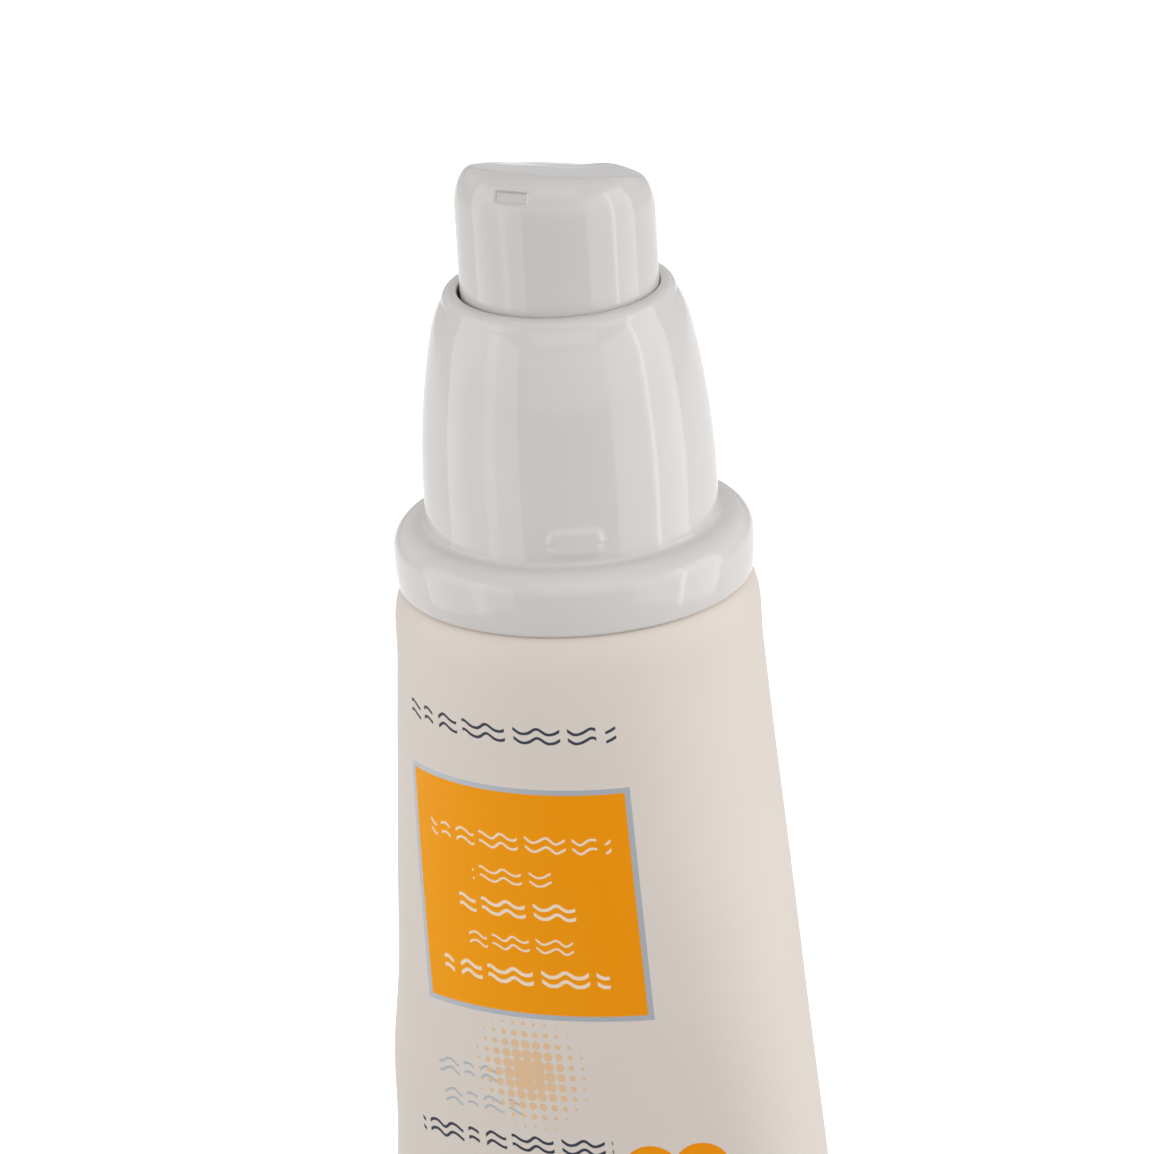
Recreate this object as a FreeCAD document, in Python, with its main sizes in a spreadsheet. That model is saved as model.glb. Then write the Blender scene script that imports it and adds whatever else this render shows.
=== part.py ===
import FreeCAD, Part
import Sketcher
import math
import os

# A squeezable sunscreen tube with a push pump on its shoulder. The soft sleeve is
# closed by a flat seal at its tail and welded to a stiff shoulder with a neck. The
# pump hangs in the neck, a screwed ring clamps it there, and a domed collar covers
# both. The button on the pump's stem turns freely and is pushed down against a spring.
# Frame: +Z from the tail seal to the button, -Y is the printed front and the nozzle's
# side, the seal lies along X, and the origin is the middle of the seal's end edge.
# All lengths are in millimetres and all angles in degrees.

SIZES = (
    # the soft sleeve and its tail seal
    ("tube_radius", 17.5),
    ("sleeve_wall", 0.5),
    ("sleeve_length", 116.0),
    ("seal_height", 7.0),
    ("seal_gap", 0.1),
    ("sleeve_spans", 6),
    # the stiff shoulder and its neck
    ("corner_radius", 3.5),
    ("shoulder_plate", 1.6),
    ("skirt_depth", 2.5),
    ("skirt_wall", 0.9),
    ("neck_wall", 1.3),
    ("neck_bead", 0.4),
    ("neck_bead_height", 1.0),
    ("neck_bead_drop", 4.8),
    # the domed collar with its cap flange
    ("dome_radius", 14.0),
    ("dome_wall", 1.1),
    ("dome_height", 23.2),
    ("dome_straight", 3.0),
    ("dome_shoulder_inset", 1.6),
    ("dome_shoulder_drop", 4.3),
    ("foot_fillet", 0.45),
    ("lip_width", 1.0),
    ("lip_edge", 0.35),
    ("flange_radius", 17.15),
    ("flange_height", 6.1),
    ("flange_rounding", 2.1),
    ("flange_belly", 3.3),
    ("flange_ledge", 0.55),
    ("flange_edge", 0.6),
    ("flange_lift", 0.3),
    ("flange_rim", 1.0),
    ("flange_plate", 1.3),
    ("collar_rib_width", 0.8),
    ("collar_rib_count", 12),
    ("lug_angle", 27.0),
    ("lug_span", 23.0),
    ("lug_height", 3.3),
    ("lug_proud", 0.3),
    ("lug_lift", 0.5),
    ("lug_corner", 0.8),
    # the screwed ring that clamps the pump on the neck
    ("closure_gap", 0.5),
    ("closure_wall", 1.2),
    ("closure_plate", 1.2),
    ("closure_hole", 7.8),
    ("closure_lift", 1.5),
    ("closure_catch", 0.25),
    ("closure_rib", 0.25),
    ("closure_rib_count", 24),
    # the pump's cylinder, its guide bush and its gasket
    ("gasket_thickness", 0.6),
    ("cylinder_flange", 1.2),
    ("cylinder_bore", 4.6),
    ("cylinder_wall", 1.0),
    ("plug_depth", 3.0),
    ("plug_wall", 0.9),
    ("bush_depth", 5.3),
    ("bush_flange", 1.1),
    ("bush_rim_radius", 7.4),
    ("bush_nose_radius", 3.7),
    ("bush_nose_height", 2.0),
    ("inlet_bore", 0.9),
    ("inlet_length", 2.0),
    ("inlet_wall", 1.0),
    ("nib_height", 0.65),
    ("nib_width", 0.8),
    ("nib_count", 3),
    # the ball of the inlet valve
    ("ball_radius", 1.6),
    ("ball_room", 0.35),
    ("ball_lift", 1.0),
    # the stem, its plug and the floating piston
    ("stroke", 5.5),
    ("stem_radius", 3.0),
    ("stem_bore", 1.9),
    ("stem_collar_radius", 3.9),
    ("stem_collar_height", 1.6),
    ("port_radius", 0.5),
    ("piston_height", 4.5),
    ("piston_float", 0.8),
    ("piston_hub", 0.6),
    ("piston_lip", 0.5),
    ("piston_groove", 1.6),
    ("plug_flange", 1.2),
    ("shank_length", 4.0),
    ("flute_radius", 0.55),
    # the return spring
    ("spring_length", 12.1),
    ("spring_radius", 4.25),
    ("wire_radius", 0.35),
    ("spring_turns", 6),
    # the button and its nozzle
    ("button_radius", 9.45),
    ("button_gap", 0.55),
    ("button_overlap", 6.9),
    ("button_rise", 11.5),
    ("button_slope", 14.5),
    ("button_wall", 1.2),
    ("button_roof", 1.5),
    ("front_rounding", 2.2),
    ("rear_rounding", 2.8),
    ("boss_radius", 5.2),
    ("nozzle_rise", 11.4),
    ("slot_width", 3.6),
    ("slot_height", 1.26),
    ("slot_depth", 0.75),
    ("channel_radius", 0.9),
    ("channel_block", 6.4),
    ("insert_width", 4.4),
    ("insert_height", 1.9),
    ("insert_depth", 1.5),
    ("slit_width", 2.8),
    ("slit_height", 0.3),
    # clearances
    ("running_gap", 0.06),
    ("press_gap", 0.02),
    ("stop_gap", 0.05),
    ("end_gap", 0.5),
    ("free_gap", 2.0),
)

document = FreeCAD.newDocument("sunscreen_tube")
sheet = document.addObject("Spreadsheet::Sheet", "sizes")
for row, (alias, number) in enumerate(SIZES, start=1):
    sheet.set(f"A{row}", alias)
    sheet.set(f"B{row}", str(number))
    sheet.setAlias(f"B{row}", alias)
document.recompute()


class Size:
    """A number together with the sheet formula that gives it."""

    def __init__(self, value, formula):
        self.value = float(value)
        self.formula = formula

    def joined(self, other, sign, value):
        return Size(value, f"({self.formula} {sign} {other.formula})")

    def __add__(self, other):
        other = as_size(other)
        return self.joined(other, "+", self.value + other.value)

    def __sub__(self, other):
        other = as_size(other)
        return self.joined(other, "-", self.value - other.value)

    def __mul__(self, other):
        other = as_size(other)
        return self.joined(other, "*", self.value * other.value)

    def __truediv__(self, other):
        other = as_size(other)
        return self.joined(other, "/", self.value / other.value)

    def __neg__(self):
        return Size(-self.value, f"(0 - {self.formula})")


def as_size(number):
    return number if isinstance(number, Size) else Size(number, str(number))


def size(alias):
    return Size(sheet.get(alias), f"sizes.{alias}")


def count(alias):
    return int(round(sheet.get(alias)))


def root_of(length):
    return Size(math.sqrt(length.value), f"sqrt({length.formula})")


def slope_of(angle):
    return Size(math.tan(math.radians(angle.value)), f"tan({angle.formula} * 1 deg)")


def bind(thing, **sizes):
    for name, length in sizes.items():
        thing.setExpression(name, as_size(length).formula)


def place(thing, x=0, y=0, z=0):
    """Moves a primitive to a point whose coordinates follow the sheet."""
    for axis, length in zip("xyz", (x, y, z)):
        thing.setExpression(f"Placement.Base.{axis}", as_size(length).formula)


# ---------------------------------------------------------------- drawing helpers

def new_body(name):
    body = document.addObject("PartDesign::Body", name)
    body.Label = name
    return body


def origin_plane(body, role):
    return next(item for item in body.Origin.OriginFeatures if item.Role == role)


def new_sketch(body, name, role="XZ_Plane", lift=None, turn=None):
    """A sketch on a plane of its own body, lifted off it or turned about +Z."""
    sketch = body.newObject("Sketcher::SketchObject", name)
    sketch.AttachmentSupport = [(origin_plane(body, role), "")]
    sketch.MapMode = "FlatFace"
    if turn is not None:
        up_in_sketch = FreeCAD.Vector(0, 1, 0)
        sketch.AttachmentOffset = FreeCAD.Placement(
            FreeCAD.Vector(), FreeCAD.Rotation(up_in_sketch, turn.value))
        sketch.setExpression("AttachmentOffset.Rotation.Angle", turn.formula)
    if lift is not None:
        sketch.setExpression("AttachmentOffset.Base.z", lift.formula)
    return sketch


def arc_middle(start, end, radius):
    """The middle of the shorter arc from start to end, bulging to the right of the way."""
    way = end - start
    half = way.Length / 2
    right = FreeCAD.Vector(way.y, -way.x, 0).normalize()
    height = radius - math.sqrt(max(radius ** 2 - half ** 2, 0))
    return (start + end) / 2 + right * height


def tangent_middle(start, end, heading):
    """The middle of the arc that leaves start along heading and ends at end."""
    way = end - start
    turn = math.atan2(heading.x * way.y - heading.y * way.x, heading.dot(way))
    left = FreeCAD.Vector(-way.y, way.x, 0).normalize()
    height = -way.Length / 2 * math.tan(turn / 2)
    return (start + end) / 2 + left * height


def draw(sketch, corners):
    """Draws a closed outline. A corner is (x, y), and a third entry makes the edge that
    arrives there an arc: "tangent" to the edge before it, or a Size as its radius."""
    points = []
    for corner in corners:
        points.append(FreeCAD.Vector(as_size(corner[0]).value, as_size(corner[1]).value, 0))
    total = len(corners)
    ends = []
    heading = None
    for index in range(total):
        start = points[index]
        end = points[(index + 1) % total]
        target = corners[(index + 1) % total]
        kind = target[2] if len(target) > 2 else None
        if kind is None:
            edge = sketch.addGeometry(Part.LineSegment(start, end), False)
            heading = end - start
            ends.append((edge, 1, 2))
            continue
        if kind == "tangent":
            middle = tangent_middle(start, end, heading)
        else:
            middle = arc_middle(start, end, kind.value)
        arc = Part.Arc(start, middle, end)
        edge = sketch.addGeometry(arc, False)
        forward = (sketch.getPoint(edge, 1) - start).Length < (sketch.getPoint(edge, 2) - start).Length
        ends.append((edge, 1, 2) if forward else (edge, 2, 1))
        centre = sketch.Geometry[edge].Center
        spoke = end - centre
        heading = FreeCAD.Vector(-spoke.y, spoke.x, 0)
        if heading.dot(end - start) < 0:
            heading = -heading
    for index in range(total):
        edge, first, last = ends[index]
        before, _, before_last = ends[index - 1]
        corner = corners[index]
        target = corners[(index + 1) % total]
        kind = target[2] if len(target) > 2 else None
        link = "Tangent" if kind == "tangent" else "Coincident"
        sketch.addConstraint(Sketcher.Constraint(link, before, before_last, edge, first))
        if isinstance(kind, Size):
            number = sketch.addConstraint(Sketcher.Constraint("Radius", edge, kind.value))
            sketch.setExpression(f"Constraints[{number}]", kind.formula)
        for word, axis, length in (("DistanceX", -2, as_size(corner[0])),
                                   ("DistanceY", -1, as_size(corner[1]))):
            if length.value == 0:
                sketch.addConstraint(Sketcher.Constraint("PointOnObject", edge, first, axis))
                continue
            number = sketch.addConstraint(Sketcher.Constraint(word, -1, 1, edge, first, length.value))
            sketch.setExpression(f"Constraints[{number}]", length.formula)
    return sketch


def draw_circle(sketch, radius, x=0, y=0):
    """Draws a circle whose centre lies on the origin or at a bound point."""
    x, y = as_size(x), as_size(y)
    middle = FreeCAD.Vector(x.value, y.value, 0)
    ring = sketch.addGeometry(Part.Circle(middle, FreeCAD.Vector(0, 0, 1), radius.value), False)
    number = sketch.addConstraint(Sketcher.Constraint("Radius", ring, radius.value))
    sketch.setExpression(f"Constraints[{number}]", radius.formula)
    for word, axis, length in (("DistanceX", -2, x), ("DistanceY", -1, y)):
        if length.value == 0:
            sketch.addConstraint(Sketcher.Constraint("PointOnObject", ring, 3, axis))
            continue
        number = sketch.addConstraint(Sketcher.Constraint(word, -1, 1, ring, 3, length.value))
        sketch.setExpression(f"Constraints[{number}]", length.formula)
    return sketch


def revolve(body, name, corners):
    """Turns an outline in the XZ plane about the tube's axis."""
    sketch = draw(new_sketch(body, name + "_section"), corners)
    feature = body.newObject("PartDesign::Revolution", name)
    feature.Profile = sketch
    feature.ReferenceAxis = (sketch, ["V_Axis"])
    feature.Angle = 360
    return feature


def pad(body, sketch, name, length, backwards=False, midplane=False):
    feature = body.newObject("PartDesign::Pad", name)
    feature.Profile = sketch
    feature.Reversed = backwards
    feature.Midplane = midplane
    bind(feature, Length=length)
    return feature


def pocket(body, sketch, name, length, backwards=False, midplane=False):
    feature = body.newObject("PartDesign::Pocket", name)
    feature.Profile = sketch
    feature.Reversed = backwards
    feature.Midplane = midplane
    bind(feature, Length=length)
    return feature


def around(body, feature, name, copies, angle=360):
    """Repeats a feature about the tube's axis."""
    pattern = body.newObject("PartDesign::PolarPattern", name)
    pattern.Originals = [feature]
    pattern.Axis = (origin_plane(body, "Z_Axis"), [""])
    pattern.Angle = angle
    pattern.Occurrences = copies
    body.Tip = pattern
    return pattern


def boolean(kind, name, *parts):
    """A Cut of two objects, or a MultiFuse of several."""
    result = document.addObject(f"Part::{kind}", name)
    if kind == "Cut":
        result.Base, result.Tool = parts
    else:
        result.Shapes = list(parts)
    result.Label = name
    return result


def cylinder(name, radius, height, x=0, y=0, z=0):
    solid = document.addObject("Part::Cylinder", name)
    bind(solid, Radius=radius, Height=height)
    place(solid, x, y, z)
    return solid


def block(name, width, depth, height, x, y, z):
    """A box centred on x, from y to y + depth, centred on z."""
    solid = document.addObject("Part::Box", name)
    bind(solid, Length=width, Width=depth, Height=height)
    place(solid, as_size(x) - as_size(width) / 2, y, as_size(z) - as_size(height) / 2)
    return solid


# ---------------------------------------------------------------- shared levels and radii

tube_radius = size("tube_radius")
sleeve_wall = size("sleeve_wall")
sleeve_top = size("sleeve_length")
corner_radius = size("corner_radius")
shoulder_top = sleeve_top + corner_radius
running_gap = size("running_gap")
press_gap = size("press_gap")
stop_gap = size("stop_gap")

# the collar's dome stands on the shoulder, and its flange hangs free over the corner
rim_radius = tube_radius - size("flange_ledge")
flange_bottom = shoulder_top + size("flange_lift")
foot = flange_bottom + size("flange_height")
rim = foot + size("dome_height")

# the button reaches into the collar, and the closure below it leaves room for the stroke
button_radius = size("button_radius")
opening_radius = button_radius + size("button_gap")
button_bottom = rim - size("button_overlap")
closure_top = button_bottom - size("stroke") - size("free_gap")
cylinder_top = closure_top - size("closure_plate")
gasket_top = cylinder_top - size("cylinder_flange")
neck_top = gasket_top - size("gasket_thickness")

# from the dome's inside to the neck
dome_inside = size("dome_radius") - size("dome_wall")
closure_outside = dome_inside - size("closure_gap")
closure_inside = closure_outside - size("closure_wall")
neck_radius = closure_inside - size("neck_bead") - running_gap
neck_bore = neck_radius - size("neck_wall")

# inside the pump, from the guide bush down to the inlet
chamber_top = cylinder_top - size("bush_depth")
stem_collar_top = chamber_top - stop_gap
stem_collar_bottom = stem_collar_top - size("stem_collar_height")
piston_top = stem_collar_bottom - size("piston_float") - stop_gap
piston_bottom = piston_top - size("piston_height")
stem_bottom = piston_bottom - stop_gap
plug_bottom = stem_bottom - size("plug_flange")
chamber_floor = plug_bottom - size("stroke") - size("end_gap")
nib_bottom = chamber_floor - size("nib_height")
ball_radius = size("ball_radius")
ball_middle = nib_bottom - size("ball_lift") - stop_gap - ball_radius
pocket_radius = ball_radius + size("ball_room")
# a ball rests on a 45 degree cone, root two radii above where the cone's line meets the axis
cone_tip = ball_middle - (ball_radius + press_gap) * math.sqrt(2)
cone_bottom = cone_tip + size("inlet_bore")
cone_top = cone_tip + pocket_radius
inlet_end = cone_bottom - size("inlet_length")
cylinder_outside = size("cylinder_bore") + size("cylinder_wall")
stem_radius = size("stem_radius")
stem_slide = stem_radius + running_gap

# the spring stands on the bush and carries the button's boss
spring_seat = cylinder_top + size("bush_flange")
boss_bottom = spring_seat + size("spring_length")

# the nozzle's channel runs parallel to the button's sloping top
top_slope = slope_of(size("button_slope"))
top_at_axis = rim + size("button_rise")
nozzle_level = rim + size("nozzle_rise")
insert_front = button_radius - size("slot_depth")
insert_back = insert_front - size("insert_depth")
channel_at_axis = nozzle_level - insert_back * top_slope
stem_top = channel_at_axis - size("stem_bore") * 2


# ---------------------------------------------------------------- the soft sleeve

def keep(holder, name, length):
    """Holds a worked-out length under a name, so that later formulas stay short."""
    holder.addProperty("App::PropertyFloat", name)
    holder.setExpression(name, length.formula)
    return Size(length.value, f"{holder.Name}.{name}")


def oval(body, name, level, half_width, half_depth):
    """A flattened ring of four arcs that run into each other: two flat ones in front
    and at the back, and two tight ones at the sides."""
    values = document.addObject("App::VarSet", name + "_values")
    wide = keep(values, "half_width", half_width)
    deep = keep(values, "half_depth", half_depth)
    side = keep(values, "side_radius", deep * root_of(deep / wide))
    reach = keep(values, "side_centre", wide - side)
    front = keep(values, "front_radius",
                 (reach * reach + deep * deep - side * side) / (deep - side) / 2)
    x = keep(values, "corner_x", reach * front / (front - side))
    y = keep(values, "corner_y", (front - deep) * side / (front - side))
    sketch = new_sketch(body, name, "XY_Plane", lift=level)
    return draw(sketch, ((x, -y, front), (x, y, side), (-x, y, front), (-x, -y, side)))


def round_ring(body, name, level, radius):
    """A circle of four arcs, to match the corners of the flattened rings."""
    corner = radius / math.sqrt(2)
    sketch = new_sketch(body, name, "XY_Plane", lift=level)
    return draw(sketch, ((corner, -corner, radius), (corner, corner, radius),
                         (-corner, corner, radius), (-corner, -corner, radius)))


def loft(body, name, kind, rings):
    """A straight-ruled skin from ring to ring."""
    feature = body.newObject(f"PartDesign::{kind}Loft", name)
    feature.Profile = rings[0]
    feature.Sections = rings[1:]
    feature.Ruled = True
    return feature


def make_sleeve():
    """An extruded tube: round at the shoulder, pressed flat and welded at the tail. Its
    girth stays the same, so it widens evenly from its diameter to half its girth, while
    its depth falls slowly at first and fast near the seal."""
    seal_top = size("seal_height")
    round_end = sleeve_top - size("skirt_depth") - size("end_gap")
    seal_half_width = tube_radius * (math.pi / 2)
    seal_half_depth = sleeve_wall + size("seal_gap") / 2
    spans = count("sleeve_spans")
    span = (round_end - seal_top) / spans
    girth_power = 0.6  # this fall of the depth keeps the girth within one part in a hundred

    def half_width_at(step):
        return tube_radius + (seal_half_width - tube_radius) * (step / spans)

    def half_depth_at(step):
        return seal_half_depth + (tube_radius - seal_half_depth) * (1 - step / spans) ** girth_power

    def ring(name, step, inset):
        return oval(body, f"{name}_{step}", round_end - span * step,
                    half_width_at(step) - inset, half_depth_at(step) - inset)

    body = new_body("tube_sleeve")
    outside = [round_ring(body, "outer_ring_0", round_end, tube_radius)]
    inside = [round_ring(body, "inner_ring_0", round_end, tube_radius - sleeve_wall)]
    for step in range(1, spans):
        outside.append(ring("outer_ring", step, as_size(0)))
        inside.append(ring("inner_ring", step, sleeve_wall))
    outside.append(ring("outer_ring", spans, as_size(0)))
    # the room for the cream ends a little above the seal, where the walls meet
    inside_end = 0.2
    last = spans - 1
    inside.append(oval(
        body, "inner_ring_end", seal_top + span * inside_end,
        seal_half_width - (seal_half_width - half_width_at(last)) * inside_end - sleeve_wall,
        seal_half_depth + (half_depth_at(last) - seal_half_depth) * inside_end - sleeve_wall))
    loft(body, "sleeve_skin", "Additive", outside)
    band_height = sleeve_top - round_end
    outline = draw_circle(new_sketch(body, "band_section", "XY_Plane", lift=round_end), tube_radius)
    pad(body, outline, "round_band", band_height)
    outline = draw(new_sketch(body, "seal_section", "XY_Plane"), (
        (-seal_half_width, -seal_half_depth),
        (seal_half_width, -seal_half_depth),
        (seal_half_width, seal_half_depth),
        (-seal_half_width, seal_half_depth),
    ))
    pad(body, outline, "tail_seal", seal_top)
    loft(body, "cream_room", "Subtractive", inside)
    outline = draw_circle(new_sketch(body, "band_bore_section", "XY_Plane", lift=sleeve_top),
                          tube_radius - sleeve_wall)
    pocket(body, outline, "band_bore", band_height)
    return body


# ---------------------------------------------------------------- the shoulder and neck

def make_head():
    """Injection moulded: a thick disc with a rounded corner, a skirt that the sleeve is
    welded to, and a neck with a bead that the closure grips."""
    skirt_outside = tube_radius - sleeve_wall - press_gap
    skirt_inside = skirt_outside - size("skirt_wall")
    plate_under = shoulder_top - size("shoulder_plate")
    bead_top = neck_top - size("neck_bead_drop")
    bead_radius = neck_radius + size("neck_bead")
    bead_bottom = bead_top - size("neck_bead_height")
    body = new_body("tube_head")
    revolve(body, "head_turn", (
        (neck_bore, plate_under),
        (skirt_inside, plate_under),
        (skirt_inside, sleeve_top - size("skirt_depth")),
        (skirt_outside, sleeve_top - size("skirt_depth")),
        (skirt_outside, sleeve_top),
        (tube_radius, sleeve_top),
        (tube_radius - corner_radius, shoulder_top, corner_radius),
        (neck_radius, shoulder_top),
        (neck_radius, bead_bottom),
        (bead_radius, bead_bottom),
        (bead_radius, bead_top - size("neck_bead")),
        (neck_radius, bead_top),
        (neck_radius, neck_top),
        (neck_bore, neck_top),
    ))
    return body


def make_gasket():
    """A flat ring punched from foam between the neck's rim and the pump's flange."""
    body = new_body("neck_gasket")
    revolve(body, "gasket_turn", (
        (neck_bore, neck_top),
        (neck_radius, neck_top),
        (neck_radius, gasket_top),
        (neck_bore, gasket_top),
    ))
    return body


# ---------------------------------------------------------------- the pump's fixed pieces

def make_pump_cylinder():
    """The pump's housing: a flange on the neck, a plug skirt in its bore, the cylinder
    that the piston runs in, and the seat and cage of the inlet ball at the bottom."""
    plug_outside = neck_bore - press_gap
    plug_inside = plug_outside - size("plug_wall")
    inlet_outside = pocket_radius + size("inlet_wall")
    floor_under = chamber_floor - size("cylinder_wall")
    body = new_body("pump_cylinder")
    revolve(body, "cylinder_turn", (
        (size("cylinder_bore"), chamber_floor),
        (size("cylinder_bore"), cylinder_top),
        (neck_radius, cylinder_top),
        (neck_radius, gasket_top),
        (plug_outside, gasket_top),
        (plug_outside, gasket_top - size("plug_depth")),
        (plug_inside, gasket_top - size("plug_depth")),
        (plug_inside, gasket_top),
        (cylinder_outside, gasket_top),
        (cylinder_outside, floor_under),
        (inlet_outside, floor_under - (cylinder_outside - inlet_outside)),
        (inlet_outside, inlet_end),
        (size("inlet_bore"), inlet_end),
        (size("inlet_bore"), cone_bottom),
        (pocket_radius, cone_top),
        (pocket_radius, chamber_floor),
    ))
    nib_reach = ball_radius - size("ball_room")
    nib_root = pocket_radius + size("inlet_wall") / 2
    half = size("nib_width") / 2
    outline = new_sketch(body, "nib_section", "XY_Plane", lift=nib_bottom)
    draw(outline, ((nib_reach, -half), (nib_root, -half), (nib_root, half), (nib_reach, half)))
    nib = pad(body, outline, "cage_nib", size("nib_height"))
    around(body, nib, "cage_nibs", count("nib_count"))
    return body


def make_guide_bush():
    """Pressed into the cylinder's mouth: it guides the stem, stops its collar and
    carries the spring round its nose."""
    body = new_body("guide_bush")
    bush_outside = size("cylinder_bore") - press_gap
    revolve(body, "bush_turn", (
        (stem_slide, chamber_top),
        (bush_outside, chamber_top),
        (bush_outside, cylinder_top),
        (size("bush_rim_radius"), cylinder_top),
        (size("bush_rim_radius"), spring_seat),
        (size("bush_nose_radius"), spring_seat),
        (size("bush_nose_radius"), spring_seat + size("bush_nose_height")),
        (stem_slide, spring_seat + size("bush_nose_height")),
    ))
    return body


def make_closure():
    """The ring that clamps the pump: a plate on the cylinder's flange and a skirt whose
    inner ridge catches under the neck's bead, ribbed outside for the tool that turns it."""
    bottom = shoulder_top + size("closure_lift")
    ridge_top = neck_top - size("neck_bead_drop") - size("neck_bead_height") - stop_gap
    catch_radius = neck_radius + size("closure_catch") / 2
    ridge_depth = closure_inside - catch_radius
    bevel = size("closure_wall") / 2
    body = new_body("screw_closure")
    revolve(body, "closure_turn", (
        (closure_inside, bottom),
        (closure_outside, bottom),
        (closure_outside, closure_top - bevel),
        (closure_outside - bevel, closure_top),
        (size("closure_hole"), closure_top),
        (size("closure_hole"), cylinder_top),
        (closure_inside, cylinder_top),
        (closure_inside, ridge_top),
        (catch_radius, ridge_top),
        (closure_inside, ridge_top - ridge_depth),
    ))
    rib = size("closure_rib")
    outline = new_sketch(body, "rib_section", "XY_Plane", lift=bottom)
    draw(outline, (
        (closure_outside - rib, -rib),
        (closure_outside + rib, -rib / 2),
        (closure_outside + rib, rib / 2),
        (closure_outside - rib, rib),
    ))
    one_rib = pad(body, outline, "grip_rib", closure_top - bevel * 2 - bottom)
    around(body, one_rib, "grip_ribs", count("closure_rib_count"))
    return body


# ---------------------------------------------------------------- the collar

def make_collar():
    """The glossy cover: a dome with a rolled lip round the button, and below it a hollow
    round flange that the cap stands on, stiffened by ribs. Two low lugs on the dome's
    foot hold the cap, and an inner ridge snaps the collar under the closure."""
    dome_radius = size("dome_radius")
    dome_wall = size("dome_wall")
    lip_radius = opening_radius + size("lip_width")
    shoulder_radius = dome_radius - size("dome_shoulder_inset")
    shoulder_level = rim - size("dome_shoulder_drop")
    crown_start = foot + size("dome_straight")
    foot_fillet = size("foot_fillet")
    lip_edge = size("lip_edge")
    flange_edge = size("flange_edge")
    flange_radius = size("flange_radius")
    rounding = size("flange_rounding")
    rim_inside = rim_radius - size("flange_rim")
    plate_under = foot - size("flange_plate")
    ridge_radius = closure_outside - size("closure_gap") / 2
    ridge_top = shoulder_top + size("closure_lift") - stop_gap
    ridge_bottom = ridge_top - (dome_inside - ridge_radius)
    body = new_body("collar")
    revolve(body, "collar_turn", (
        # under the flange, from the dome's skirt to the hanging rim
        (dome_inside, shoulder_top),
        (dome_radius, shoulder_top),
        (dome_radius, plate_under),
        (rim_inside, plate_under),
        (rim_inside, flange_bottom),
        (rim_radius - flange_edge, flange_bottom),
        # the flange's round outside
        (rim_radius, flange_bottom + flange_edge, flange_edge),
        (flange_radius, foot - size("flange_belly")),
        (flange_radius, foot - rounding),
        (flange_radius - rounding, foot, rounding),
        # the dome, in two arcs that run into each other
        (dome_radius + foot_fillet, foot),
        (dome_radius, foot + foot_fillet, "tangent"),
        (dome_radius, crown_start),
        (shoulder_radius, shoulder_level, "tangent"),
        (lip_radius, rim - lip_edge, "tangent"),
        # the lip and the dome's inside
        (lip_radius - lip_edge, rim, lip_edge),
        (opening_radius, rim - lip_edge, lip_edge * 2),
        (opening_radius, rim - size("lip_width")),
        (shoulder_radius - dome_wall, shoulder_level),
        (dome_inside, closure_top),
        (dome_inside, ridge_top),
        (ridge_radius, ridge_top),
        (dome_inside, ridge_bottom),
    ))
    half = size("collar_rib_width") / 2
    rib_bottom = flange_bottom + size("flange_lift")
    outline = new_sketch(body, "flange_rib_section", "XY_Plane", lift=rib_bottom)
    inset = dome_wall / 4
    draw(outline, (
        (dome_radius - inset, -half),
        (rim_inside + inset, -half),
        (rim_inside + inset, half),
        (dome_radius - inset, half),
    ))
    rib = pad(body, outline, "flange_rib", plate_under - flange_bottom)
    around(body, rib, "flange_ribs", count("collar_rib_count"))

    lug_bottom = foot + size("lug_lift")
    lug_top = lug_bottom + size("lug_height")
    lug_root = dome_radius - dome_wall / 2
    lug_face = dome_radius + size("lug_proud")
    turn = size("lug_angle") - size("lug_span") / 2 - 90
    outline = draw(new_sketch(body, "lug_section", turn=turn), (
        (lug_root, lug_bottom), (lug_face, lug_bottom), (lug_face, lug_top), (lug_root, lug_top)))
    lug = body.newObject("PartDesign::Revolution", "cap_lug")
    lug.Profile = outline
    lug.ReferenceAxis = (outline, ["V_Axis"])
    bind(lug, Angle=size("lug_span"))
    around(body, lug, "cap_lugs", 2)
    document.recompute()
    round_lugs(body, lug_bottom.value, lug_top.value, lug_face.value)
    return body


def round_lugs(body, bottom, top, face):
    """Rounds the four corners of each lug, which are its short radial edges."""
    reach = size("lug_proud").value * 3
    corners = []
    for number, edge in enumerate(body.Tip.Shape.Edges, start=1):
        ends = [vertex.Point for vertex in edge.Vertexes]
        if len(ends) < 2 or edge.Length > reach:
            continue
        radii = [math.hypot(end.x, end.y) for end in ends]
        levels = [end.z for end in ends]
        flat = abs(levels[0] - levels[1]) < 1e-3
        at_corner = min(abs(levels[0] - bottom), abs(levels[0] - top)) < 1e-3
        if flat and at_corner and abs(max(radii) - face) < 1e-3 and max(radii) - min(radii) > 0.05:
            corners.append(f"Edge{number}")
    sharp = body.Tip
    fillet = body.newObject("PartDesign::Fillet", "lug_rounding")
    fillet.Base = (sharp, corners)
    bind(fillet, Radius=size("lug_corner"))
    body.Tip = fillet


# ---------------------------------------------------------------- the moving pump pieces

def make_ball():
    """A steel ball that closes the inlet while the piston comes down."""
    ball = document.addObject("Part::Sphere", "inlet_ball")
    bind(ball, Radius=ball_radius)
    place(ball, z=ball_middle)
    return ball


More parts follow.
